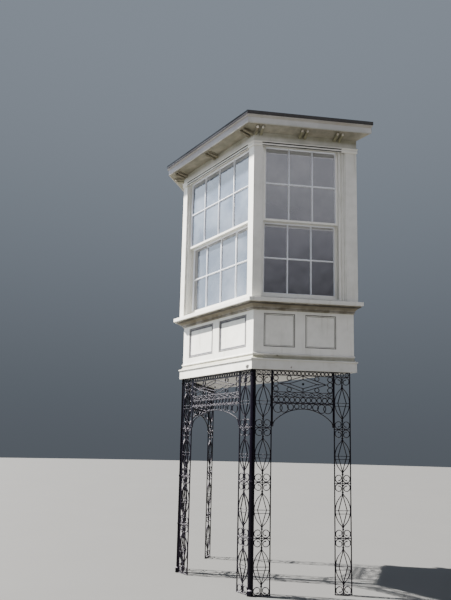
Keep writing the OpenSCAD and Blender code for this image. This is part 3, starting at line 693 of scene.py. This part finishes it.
def rolled_bar(start, heading, moves, width=BAR_W):
    """Rolls a bar in the x-z plane. The heading is in degrees, anticlockwise from x. A move is
    ("turn", centre, degrees, steps), with anticlockwise turns positive, or ("go", point)."""
    deselect()
    bpy.ops.mesh.primitive_plane_add(size=1, location=(start[0], 0, start[1]),
                                     rotation=(0, math.radians(90 - heading), 0))
    piece = bpy.context.object
    piece.scale = (width, IRON_T, 1)
    apply_place(piece)
    pick_all(piece)
    tip = Vector(start)
    for move in moves:
        if move[0] == "go":
            target = Vector(move[1])
            step = target - tip
            extrude(step.x, 0, step.y)
            tip = target
        else:
            centre, degrees, steps = Vector(move[1]), move[2], move[3]
            bpy.ops.mesh.spin(steps=steps, angle=math.radians(degrees), center=(centre.x, 0, centre.y),
                              axis=(0, 1, 0))
            tip = centre + Matrix.Rotation(math.radians(degrees), 2) @ (tip - centre)
    leave()
    close_up(piece)
    return soften(piece, BAR_ROUND, 1, 40)


def bar_frame(x, z, sides, half_w, half_h):
    """A frame of flat bar in the x-z plane, on a regular outline of a number of sides."""
    deselect()
    bpy.ops.mesh.primitive_cylinder_add(vertices=sides, radius=1, depth=IRON_T, location=(x, 0, z),
                                        rotation=(math.radians(90), 0, 0))
    piece = bpy.context.object
    piece.scale = (half_w, half_h, 1)
    apply_place(piece)
    ring_of(piece, 1, BAR_W)
    return soften(piece, BAR_ROUND, 1, 40)


def hoop(x, z, radius, sides=28):
    return bar_frame(x, z, sides, radius, radius)


def diamond(x, z, half_w, half_h):
    return bar_frame(x, z, 4, half_w, half_h)


def turned(x, z, stations, sides, y=0.0, along="y"):
    """A solid of round sections: (distance along the axis, radius) for each station."""
    deselect()
    spin = {"y": (math.radians(90), 0, 0), "z": (0, 0, 0)}[along]
    first, radius = stations[0]
    place = (x, y + first, z) if along == "y" else (x, y, z + first)
    bpy.ops.mesh.primitive_circle_add(vertices=sides, radius=radius, fill_type="NGON", location=place,
                                      rotation=spin)
    piece = bpy.context.object
    apply_place(piece)
    pick_all(piece)
    for (a, r0), (b, r1) in zip(stations, stations[1:]):
        extrude(0, b - a if along == "y" else 0, b - a if along == "z" else 0)
        bpy.ops.transform.resize(value=(r1 / r0, r1 / r0, r1 / r0))
    leave()
    close_up(piece)
    bpy.ops.object.shade_smooth_by_angle(angle=math.radians(50))
    return piece


def straight(x0, x1, z0, z1, depth=IRON_T, edge=0.002):
    return soft_block((x0, -depth / 2, z0), (x1, depth / 2, z1), edge, 1)


def knob(x, z, radius, depth=IRON_T / 2 - 0.0005):
    """A small domed boss on both faces of a bar."""
    return turned(x, z, [(-depth, radius * 0.45), (-depth * 0.8, radius * 0.8), (-depth * 0.4, radius),
                         (depth * 0.4, radius), (depth * 0.8, radius * 0.8), (depth, radius * 0.45)], 10)


def scroll_module():
    """One module of a post, about its middle: long S scrolls round a tall lozenge."""
    inner = POST_W / 2 - UPRIGHT_W
    curl = (inner + 2 * LAP - BAR_W) / 2
    curl_x = -inner - LAP + curl + BAR_W / 2
    curl_z = MODULE_H / 2 - BAR_W - curl + LAP
    neck = curl_z - curl - BAR_W
    swell = inner + LAP - BAR_W / 2
    line = curl_x + curl
    lean = 2 * math.degrees(math.atan(swell / neck))
    small = 0.055
    large = neck / math.sin(math.radians(lean)) - small
    tip_z = curl_z + 0.42 * curl
    scroll = rolled_bar((curl_x, tip_z), 0, [
        ("turn", (curl_x, curl_z - 0.29 * curl), -180, 9),
        ("turn", (curl_x, curl_z), -270, 16),
        ("go", (line, neck)),
        ("turn", (line - small, neck), -lean, 4),
        ("turn", (line - swell + large, 0), 2 * lean, 14),
        ("turn", (line - small, -neck), -lean, 4),
        ("go", (line, -curl_z)),
        ("turn", (curl_x, -curl_z), -270, 16),
        ("turn", (curl_x, -curl_z + 0.29 * curl), -180, 9)])
    parts = [scroll, mirror_of(scroll), diamond(0, 0, inner * 0.62, neck * 0.94)]
    for side in (-1, 1):
        parts.append(knob(side * curl_x, tip_z, SMALL_BOSS))
        parts.append(knob(side * curl_x, -tip_z, SMALL_BOSS))
        low, high = sorted((side * neck * 0.9, side * (neck + BAR_W)))
        parts.append(straight(-0.0045, 0.0045, low, high))
        parts.append(straight(-0.011, 0.011, side * neck - 0.007, side * neck + 0.007, IRON_T + 0.002))
        bud = [(-0.0205, 0.0012), (-0.012, 0.0042), (0, 0.0070), (0.012, 0.0042), (0.0205, 0.0012)]
        parts.append(turned(0, side * (curl_z + curl * 0.62), bud, 8, along="z"))
        parts.append(knob(0, side * (neck * 0.94 - 0.012), TINY_BOSS))
    for z in (0, -MODULE_H * 0.06):
        parts.append(straight(-inner - LAP, inner + LAP, z - 0.003, z + 0.003, 0.008, 0.001))
    return joined("scroll_module", parts)


def upright(x0, x1, z0, z1):
    return soft_block((x0, -IRON_T / 2, z0), (x1, IRON_T / 2, z1), 0.0028)


def post_lattice(module):
    """A post's panel, with x from its first upright's outer edge."""
    middle = POST_W / 2
    parts = [upright(0, UPRIGHT_W, 0, PORCH_H), upright(POST_W - UPRIGHT_W, POST_W, 0, PORCH_H)]
    for number in range(MODULES + 1):
        z = max(BAR_W / 2, number * MODULE_H)
        parts.append(straight(0, POST_W, z - BAR_W / 2, z + BAR_W / 2))
        for x in (UPRIGHT_W / 2, POST_W - UPRIGHT_W / 2, middle):
            parts.append(knob(x, max(z, BOSS), BOSS, BOSS_OUT))
    for number in range(MODULES):
        parts.append(copy_of(module, shift(middle, 0, (number + 0.5) * MODULE_H)))
    parts.append(straight(0, POST_W, PORCH_H - BAR_W, PORCH_H))
    gap = TOP_BAND - 1.5 * BAR_W
    for side in (-1, 0, 1):
        x = middle + side * (POST_W - 2 * UPRIGHT_W) / 3
        z = PORCH_H - BAR_W - gap / 2
        parts.append(hoop(x, z, gap / 2 + LAP))
        parts.append(knob(x, z, TINY_BOSS))
    return joined("post_lattice", parts)


def ring_row(width, top, low):
    """A row of rings between two rails, with a small boss where two rings meet."""
    radius = (top - low - BAR_W) / 2 + LAP
    count = round((width - 2 * UPRIGHT_W) / (2 * radius - LAP))
    pitch = (width - 2 * UPRIGHT_W) / count
    first = hoop(0, (top + low) / 2, radius, 24)
    row = [copy_of(first, shift(-width / 2 + UPRIGHT_W + pitch * (n + 0.5))) for n in range(count)]
    row += [knob(-width / 2 + UPRIGHT_W + pitch * n, (top + low) / 2, 0.0062) for n in range(1, count)]
    discard(first)
    return row


def frieze_lattice(width):
    """A frieze panel about its middle: rings, a long lozenge and small lozenges."""
    parts = []
    for side in (-1, 1):
        x = side * (width - UPRIGHT_W) / 2
        parts.append(upright(x - UPRIGHT_W / 2, x + UPRIGHT_W / 2, FRIEZE_LOW, PORCH_H))
    parts += [straight(-width / 2, width / 2, z - BAR_W / 2, z + BAR_W / 2) for z in RAILS]
    parts += ring_row(width, RAILS[0], RAILS[1]) + ring_row(width, RAILS[3], RAILS[4])
    middle = (RAILS[1] + RAILS[2]) / 2
    half = (LOZENGE_BAND - BAR_W) / 2 + LAP
    column_r = (half - LAP) / 3 + LAP * 0.75
    column_x = width / 2 - UPRIGHT_W - column_r + LAP
    long_half = column_x - column_r + LAP
    corner_r = half * 0.31
    parts.append(diamond(0, middle, long_half, half))
    parts.append(diamond(0, middle, long_half * 0.62, half * 0.6))
    for side in (-1, 1):
        for row in (-1, 0, 1):
            parts.append(hoop(side * column_x, middle + row * (half - column_r), column_r))
        corner_x = side * long_half * 2 * (corner_r - LAP) / half
        for end in (-1, 1):
            parts.append(hoop(corner_x, middle + end * (half - corner_r), corner_r))
        a, b = sorted((side * long_half * 0.56, side * (long_half - 2 * LAP)))
        parts.append(straight(a, b, middle - BAR_W / 2, middle + BAR_W / 2))
        a, b = sorted((side * half * 0.54, side * (half - LAP)))
        parts.append(straight(-BAR_W / 2, BAR_W / 2, middle + a, middle + b))
        parts.append(knob(side * long_half * 0.62, middle, BOSS))
        parts.append(knob(0, middle + side * half * 0.6, BOSS))
    parts.append(knob(0, middle, 0.014))
    count = round(width / (SMALL_BAND * 1.9))
    pitch = (width - 2 * UPRIGHT_W) / count
    z = (RAILS[2] + RAILS[3]) / 2
    for number in range(count):
        x = -width / 2 + UPRIGHT_W + pitch * (number + 0.5)
        parts.append(diamond(x, z, pitch / 2 + LAP, (SMALL_BAND - BAR_W) / 2 + LAP))
        parts.append(knob(x, z, SMALL_BOSS))
    return joined("frieze_lattice", parts)


def arch_lattice(width, power, corner):
    """An arch below a frieze, about its middle. Corner is the radius of the arc at each springing."""
    half = width / 2 - UPRIGHT_W
    crown = ((half - corner) ** 2 + ARCH_RISE ** 2 - corner ** 2) / (2 * (ARCH_RISE - corner))
    side_turn = 90 - math.degrees(math.atan2(half - corner, crown - ARCH_RISE))
    parts = [rolled_bar((half, SPRING - 0.010), 90, [
        ("go", (half, SPRING)),
        ("turn", (half - corner, SPRING), side_turn, 6),
        ("turn", (0, SPRING + ARCH_RISE - crown), 180 - 2 * side_turn, 18),
        ("turn", (corner - half, SPRING), side_turn, 6),
        ("go", (-half, SPRING - 0.010))], width=BAR_W + 0.001)]
    for side in (-1, 1):
        x = side * (width - UPRIGHT_W) / 2
        parts.append(upright(x - UPRIGHT_W / 2, x + UPRIGHT_W / 2, SPRING - UPRIGHT_W, FRIEZE_LOW))
        parts.append(knob(x, SPRING - UPRIGHT_W * 0.5, BOSS, BOSS_OUT))
    parts.append(straight(-width / 2, width / 2, FRIEZE_LOW - BAR_W, FRIEZE_LOW))
    for side in (-1, 1):
        for u in (0.84, 0.63, 0.42, 0.21, 0):
            if u or side > 0:
                low = SPRING + ARCH_RISE * (1 - u ** power) ** (1 / power)
                radius = min((FRIEZE_LOW - 1.5 * BAR_W - low) / 2 + LAP, 0.052)
                x = side * min(u * half, half - radius + LAP)
                parts.append(hoop(x, FRIEZE_LOW - BAR_W - radius + LAP, radius))
    return joined("arch_lattice", parts)


def corner_post_bar():
    """The square bar at a front corner, with a foot block and collars."""
    half = CORNER_BAR / 2
    parts = [soft_block((-half, -half, 0), (half, half, PORCH_H), 0.0035)]
    out = half + COLLAR_OUT
    for number in range(MODULES + 1):
        low = max(0, number * MODULE_H - COLLAR_H / 2)
        parts.append(soft_block((-out, -out, low), (out, out, number * MODULE_H + COLLAR_H / 2), 0.004))
    out = half + FOOT_OUT
    foot = block((-out, -out, 0), (out, out, FOOT_H))
    pick_faces(foot, lambda middle, normal: normal.z > 0.9)
    bpy.ops.mesh.inset(thickness=0.010)
    bpy.ops.transform.translate(value=(0, 0, 0.012))
    leave()
    parts.append(soften(foot, 0.003))
    return joined("corner_bar", parts)


def make_ironwork(iron):
    module = scroll_module()
    lattice = post_lattice(module)
    lift = shift(y=IRON_SET)
    for side, sign in (("right", 1), ("left", -1)):
        front_x = FRONT_PANEL - POST_W if sign > 0 else -FRONT_PANEL
        filler = soft_block((FRONT_PANEL - 0.006, IRON_SET - 0.005, 0),
                            (FRONT_PANEL + 0.004, IRON_SET + 0.005, PORCH_H), 0.001, 1)
        if sign < 0:
            mirrored = mirror_of(filler)
            discard(filler)
            filler = mirrored
        front = joined("front", [copy_of(lattice, lift @ shift(front_x)), filler])
        put(front, f"iron_front_trellis_{side}", "front", iron, [f"iron_front_post_{side}"])
        reach = soft_block((SIDE_PANEL - BAR_REACH + 0.010, IRON_SET - 0.006, 0),
                           (SIDE_PANEL + 0.004, IRON_SET + 0.006, PORCH_H), 0.001, 1)
        bar = corner_post_bar()
        turn = Matrix.Rotation(-SPLAY / 2, 4, "Z")
        standing = copy_of(bar, shift(IRON_CORNER, IRON_SET) @ turn)
        discard(bar)
        corner = joined("corner", [copy_of(lattice, lift @ shift(SIDE_PANEL)), reach, standing])
        put(corner, f"iron_corner_trellis_{side}", side, iron, [f"iron_side_post_{side}"])
        wall = copy_of(lattice, lift @ shift(IRON_END - POST_W))
        put(wall, f"iron_wall_trellis_{side}", side, iron, [f"iron_wall_post_{side}"])
        centre = SIDE_PANEL + POST_W + SIDE_ARCH_W / 2
        frieze = copy_of(frieze_lattice(SIDE_ARCH_W), lift @ shift(centre))
        put(frieze, f"iron_frieze_{side}", side, iron, [f"{side}_frieze"])
        arch = copy_of(arch_lattice(SIDE_ARCH_W, 1.9, 0.08), lift @ shift(centre))
        put(arch, f"iron_arch_{side}", side, iron, [f"{side}_arch"])
    frieze = copy_of(frieze_lattice(FRONT_ARCH_W), lift)
    put(frieze, "iron_frieze_front", "front", iron, ["front_frieze"])
    arch = copy_of(arch_lattice(FRONT_ARCH_W, 2.5, 0.10), lift)
    put(arch, "iron_arch_front", "front", iron, ["front_arch"])
    leftovers = [item for item in bpy.data.objects
                 if item.name.startswith(("scroll_module", "post_lattice", "frieze_lattice", "arch_lattice"))]
    discard(*leftovers)


# Timber detail

def glazing_bar(length, glass_y, front_y, back_y):
    """A bar along z from the origin: putty slopes outside, a moulded nose inside."""
    piece = block((-GLAZING_BAR_W / 2, glass_y, 0), (GLAZING_BAR_W / 2, glass_y + GLASS_T, length))
    pick_faces(piece, lambda middle, normal: normal.y < -0.9)
    extrude(0, front_y - glass_y, 0)
    bpy.ops.transform.resize(value=(0.38, 1, 1))
    leave()
    pick_faces(piece, lambda middle, normal: normal.y > 0.9)
    inner = back_y - glass_y - GLASS_T
    extrude(0, inner * 0.35, 0)
    extrude(0, inner * 0.35, 0)
    bpy.ops.transform.resize(value=(0.55, 1, 1))
    extrude(0, inner * 0.30, 0)
    leave()
    return soften(piece, 0.0012, 1, 25)


def glazing(name, face, x0, x1, z0, z1, sash_y, panes, paint):
    """Bars and putty of one sash, between the edges of its opening."""
    glass_y = sash_y + (SASH_T - GLASS_T) / 2
    front_y, back_y = sash_y + 0.005, sash_y + SASH_T - 0.002
    parts = []
    for number in range(1, panes):
        bar = glazing_bar(z1 - z0 + 0.004, glass_y, front_y, back_y)
        parts.append(copy_of(bar, shift(x0 + (x1 - x0) * number / panes, 0, z0 - 0.002)))
        discard(bar)
    cross = glazing_bar(x1 - x0 + 0.004, glass_y, front_y, back_y)
    lie = Matrix.Rotation(math.radians(90), 4, "Y")
    parts.append(copy_of(cross, shift(x0 - 0.002, 0, (z0 + z1) / 2) @ lie))
    discard(cross)
    putty = block((x0 - 0.001, sash_y + 0.0015, z0 - 0.001), (x1 + 0.001, glass_y + 0.0005, z1 + 0.001))
    parts.append(ring_of(putty, 1, 0.0015, 0.0095))
    lip = block((x0 - 0.001, glass_y + GLASS_T - 0.0005, z0 - 0.001), (x1 + 0.001, back_y, z1 + 0.001))
    parts.append(ring_of(lip, 1, 0.0095, 0.0025))
    put(joined(name, parts), name, face, paint)


def window_sizes():
    """Each window's face, the edges of its glass, and how many panes wide it is."""
    front = FRONT_HALF - POST_FRONT - FRAME_FRONT - SASH_STILE
    low = POST_SIDE + FRAME_SIDE + SASH_STILE
    high = SIDE_JAMB - FRAME_SIDE - SASH_STILE
    return [("front", -front, front, 4), ("right", low, high, 3), ("left", low, high, 3)]


def make_windows(paint, metal):
    lower_y = SASH_SET + SASH_T + PARTING
    sashes = (("upper", MEETING_HIGH, SASH_TOP - SASH_TOP_RAIL, SASH_SET),
              ("lower", SASH_Z + SASH_LOW_RAIL, MEETING_LOW, lower_y))
    for face, x0, x1, panes in window_sizes():
        for sash, z0, z1, sash_y in sashes:
            glazing(f"{face}_{sash}_glazing_bars", face, x0, x1, z0, z1, sash_y, panes, paint)
        sash_fittings(face, x0, x1, lower_y, metal)


def sash_fittings(face, x0, x1, lower_y, metal):
    """Inside: a fastener on the meeting rails and two lifts on the bottom rail."""
    centre = (x0 + x1) / 2
    inside = lower_y + SASH_T
    base = soft_block((centre - FASTENER_HALF, lower_y + 0.008, MEETING_HIGH),
                      (centre + FASTENER_HALF, lower_y + 0.034, MEETING_HIGH + 0.004), 0.0015)
    arm = soft_block((centre - 0.010, SASH_SET + 0.012, MEETING_HIGH + 0.006),
                     (centre + 0.010, lower_y + 0.030, MEETING_HIGH + 0.012), 0.003)
    stem = [(0.002, 0.009), (0.012, 0.008), (0.017, 0.010), (0.022, 0.008), (0.025, 0.003)]
    parts = [base, arm, turned(centre, MEETING_HIGH, stem, 16, lower_y + 0.021, "z")]
    for x in (x0 + (x1 - x0) * 0.25, x0 + (x1 - x0) * 0.75):
        plate = block((x - LIFT_HALF, inside - 0.001, SASH_Z + 0.018),
                      (x + LIFT_HALF, inside + 0.003, SASH_Z + 0.034))
        pick_faces(plate, lambda middle, normal: normal.z < -0.9)
        extrude(0, 0.006, -0.003)
        extrude(0, 0.010, 0.004)
        leave()
        parts.append(soften(plate, 0.0012))
    put(joined("fittings", parts), f"{face}_sash_fittings", face, metal)


def make_panel_beads(paints, groove_shades):
    """A round bead along the edge of each sunk panel of the apron, with a quirk on both its sides that
    is laid with a dark strip as painted shade.
    """
    z0 = APRON_Z + PANEL_LOW
    z1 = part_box("apron_front")[1].z - PANEL_TOP
    front = 2 * (FRONT_HALF - APRON_SET * MITRE)
    side = SIDE_LEN - APRON_SET * MITRE - APRON_SET / math.tan(SPLAY)
    faces = [("front", -front / 2, (front - 3 * APRON_STILE) / 2)]
    for face in ("right", "left"):
        faces.append((face, APRON_SET * MITRE, (side - 2 * APRON_STILE - APRON_WALL_STILE) / 2))
    for face, start, width in faces:
        beads, quirks = [], []
        for number in range(2):
            x0 = start + APRON_STILE + number * (width + APRON_STILE)
            bead = block((x0 + 0.009, APRON_SET + 0.0015, z0 + 0.009),
                         (x0 + width - 0.009, APRON_SET + PANEL_SET + 0.0005, z1 - 0.009))
            ring_of(bead, 1, BEAD_W - 0.0075)
            pick_edges(bead, lambda a, b: a.y < APRON_SET + 0.002 and b.y < APRON_SET + 0.002)
            bpy.ops.mesh.bevel(offset=0.0022, segments=3, affect="EDGES")
            leave()
            bpy.ops.object.shade_smooth_by_angle(angle=math.radians(40))
            beads.append(bead)
            # Painted shade: dark strips in the quirks, wider on the front
            for inset, width_of in ((0.0, 0.0100), (0.0150, 0.0210 if face == "front" else 0.0050)):
                dirt_and_shade = block((x0 + inset, APRON_SET + PANEL_SET - 0.0010, z0 + inset),
                             (x0 + width - inset, APRON_SET + PANEL_SET + 0.0005, z1 - inset))
                quirks.append(ring_of(dirt_and_shade, 1, width_of))
        put(joined("beads", beads), f"{face}_panel_beads", face, paints[face])
        put(joined("quirks", quirks), f"{face}_panel_quirks", face, groove_shades[face])


def make_bracket_bosses(paints):
    """A turned boss on the nose of every bracket."""
    start = (BRACKET_PAIR + BRACKET_W) / 2 + BRACKET_GAP
    front_end = FRONT_HALF - start
    on_side = (start, (POST_SIDE + SIDE_JAMB) / 2, SIDE_JAMB - start)
    boss = [(0.006, 0.010), (0.0, 0.0155), (-0.004, 0.0165), (-0.008, 0.0155), (-0.012, 0.0115),
            (-0.0145, 0.012), (-0.018, 0.010), (-0.0205, 0.005)]
    for face, centres in (("front", (-front_end, 0, front_end)), ("right", on_side), ("left", on_side)):
        parts = []
        for centre in centres:
            for side in (-1, 1):
                x = centre + side * BRACKET_PAIR / 2
                parts.append(turned(x, SOFFIT_Z - 0.017, boss, 18, -BRACKET_LEN + 0.012))
        put(joined("bosses", parts), f"{face}_bracket_bosses", face, paints[face])


# Finishes for the nodes

def dress(names, material):
    for name in names:
        piece = frame["nodes"][name]
        piece.data.materials.clear()
        piece.data.materials.append(material)


def heights(name):
    """The lowest and highest place of a CAD node."""
    return [corner.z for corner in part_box(name)]


def main():
    set_camera()
    set_sun()
    set_sky()
    clean = weathered_paint("sash_paint", 0.06, 0.05, 0.1, 0.002)
    # The splayed sides of the posts, frames and apron are greyed as painted shade
    faces = weathered_paint("face_paint", 0.18, 0.45, 0.35, shade=0.25)
    mould_low = heights("head_mould")[0]
    # Painted shadow: black lines under the frieze and along the foot of the head mould, between the posts
    heads = weathered_paint("head_paint", 0.15, 0.15, 0.2, 0.002, [
        (2, mould_low + 0.031, mould_low + 0.043, 0.001, BLACK_DIRT_AND_SHADOW, 1.0),
        (2, mould_low, mould_low + 0.012, 0.002, BLACK_DIRT_AND_SHADOW, 0.90)], posts=False)
    frieze_low, frieze_high = heights("frieze")
    # The frieze is greyed as painted shade, and darkens towards the soffit with olive grime and painted shade
    ledges = weathered_paint("frieze_paint", 0.45, 0.15, 0.2, 0.004, [
        (2, frieze_low, frieze_high, 0.001, GREY_SHADE, 0.50),
        (2, frieze_low + 0.030, frieze_high + 0.1, 0.050, OLIVE_GRIME_AND_SHADE, 0.60)])
    crown_low, crown_high = heights("crown_moulding")
    # The crown is greyed all over and further on the front as painted shade, with a pinkish stain along its
    # top
    crown = weathered_paint("crown_paint", 0.40, 0.1, 0.3, 0.004, [
        (2, crown_low, crown_high, 0.001, GREY_SHADE, 0.90),
        (2, crown_low + 0.62 * (crown_high - crown_low), crown_high, 0.006, PINK_GRIME, 0.34)], front_shade=0.9)
    # The soffit is darkened with brown dirt and painted shade, and its front part further as painted shade
    eaves = weathered_paint("eaves_paint", 0.80, 0.3, 0.3, 0.004, [
        (2, SOFFIT_Z - 0.1, SOFFIT_Z + 0.1, 0.001, BROWN_DIRT_AND_SHADE, 0.34),
        (1, -9.0, WALL_Y - BAY_DEPTH - 0.02, 0.02, OLIVE_SHADE, 0.62)])
    # Painted shade: the brackets darken with olive under the soffit, and further on the front
    brackets = weathered_paint("bracket_paint", 1.0, 0.8, 0.6, 0.003, [
        (2, SOFFIT_Z - 0.1, SOFFIT_Z, 0.001, OLIVE_GRIME_AND_SHADE, 0.75),
        (1, -9.0, WALL_Y - BAY_DEPTH - 0.02, 0.02, BROWN_DIRT_AND_SHADE, 0.70)])
    bed_low, bed_high = heights("bed_mould")
    # Painted shade: the bed mould under the sill is darkened brown, with two black painted shadow lines
    hollows = weathered_paint("bed_paint", 0.95, 0.1, 0.1, 0.004, [
        (2, bed_low, bed_high, 0.001, BROWN_DIRT_AND_SHADE, 0.72),
        (2, bed_high - 0.020, bed_high - 0.014, 0.003, BLACK_DIRT_AND_SHADOW, 0.75),
        (2, bed_low + 0.016, bed_low + 0.022, 0.003, BLACK_DIRT_AND_SHADOW, 0.60)])
    base_low, base_high = heights("base_mould")
    chip = (FRONT_HALF - 0.080, WALL_Y - BAY_DEPTH + 0.022, PORCH_H + 0.026, 0.023)
    # Painted shade: the base mould's hollow is darkened olive and the splayed sides are greyed; the chip is
    # paint really lost
    base = weathered_paint("base_paint", 0.30, 0.4, 0.55, 0.003, [
        (2, base_low + 0.016, base_high - 0.030, 0.006, OLIVE_GRIME_AND_SHADE, 0.78)], [chip], shade=0.6)
    iron = black_iron()
    dress(["front_upper_sash", "front_lower_sash", "left_upper_sash", "left_lower_sash", "right_upper_sash",
           "right_lower_sash"], clean)
    dress(["corner_post_left", "corner_post_right", "wall_pilaster_left", "wall_pilaster_right",
           "front_window_frame", "left_window_frame", "right_window_frame", "apron_front", "apron_left",
           "apron_right", "apron_panels", "apron_wall", "window_sill"], faces)
    dress(["head_mould"], heads)
    dress(["frieze"], ledges)
    dress(["crown_moulding"], crown)
    dress(["soffit"], eaves)
    dress(["cornice_brackets"], brackets)
    dress(["bed_mould"], hollows)
    dress(["base_mould", "plinth_board"], base)
    dress(["lead_roof"], sheet_lead())
    dress(["window_glass"], window_pane())
    dress(["floor_deck", "floor_joists"], bare_boards())
    dress(["porch_ceiling"], ceiling_paint("porch_ceiling_boards", True))
    dress(["ceiling"], ceiling_paint("room_ceiling", False))
    bars = weathered_paint("bar_paint", 0.02, 0.0, 0.1, 0.002, [
        (2, SASH_Z, SASH_TOP, 0.001, COOL_WHITE, 0.95)])
    make_windows(bars, iron)
    # Painted shade: the beads of the front panels are darkened
    shaded_beads = weathered_paint("bead_paint", 0.3, 0.2, 0.1, 0.001, [
        (2, APRON_Z, APRON_Z + 0.5, 0.001, BEAD_SHADE, 0.80)])
    # Painted shade in the quirks: lighter on the front, darker on the splayed sides
    shaded = groove_shade("front_groove_shade", (0.075, 0.075, 0.085, 1), (0.165, 0.165, 0.180, 1))
    black = groove_shade("side_groove_shade", (0.030, 0.030, 0.030, 1), (0.095, 0.092, 0.085, 1))
    make_panel_beads({"front": shaded_beads, "right": faces, "left": faces},
                     {"front": shaded, "right": black, "left": black})
    bosses = weathered_paint("boss_paint", 0.3, 0.1, 0.3, 0.002, [
        (2, SOFFIT_Z - 0.1, SOFFIT_Z, 0.001, PINK_GRIME, 0.50)])
    make_bracket_bosses({"front": brackets, "right": bosses, "left": bosses})
    make_ironwork(iron)
    make_floor()
    make_flag()


def make_flag():
    """A strip between the sun and the cornice, which keeps the sun off the front fascia as eaves do."""
    middle = Vector((-1.03, -1.50, 6.56))
    reach = Vector((1.0, 0.001, 0.11))
    flag = block(middle - reach, middle + reach)
    flag.name = "studio_flag"
    flag.visible_camera = False
    flag.visible_diffuse = False
    flag.visible_glossy = False
    flag.visible_transmission = False
    paint = Paint("studio_flag")
    colour = paint.mix(paint.noise(2.0), (0.02, 0.02, 0.02, 1), (0.03, 0.03, 0.03, 1))
    flag.data.materials.append(paint.finish(colour, 0.9))


def make_floor():
    deselect()
    bpy.ops.mesh.primitive_circle_add(vertices=96, radius=60, fill_type="NGON", location=(0, 0, 0))
    floor = bpy.context.object
    floor.name = "studio_floor"
    paint = Paint("studio_floor")
    colour = paint.mix(paint.noise(0.6, 3.0), (0.090, 0.090, 0.088, 1), (0.102, 0.102, 0.100, 1))
    floor.data.materials.append(paint.finish(colour, 0.8))


main()
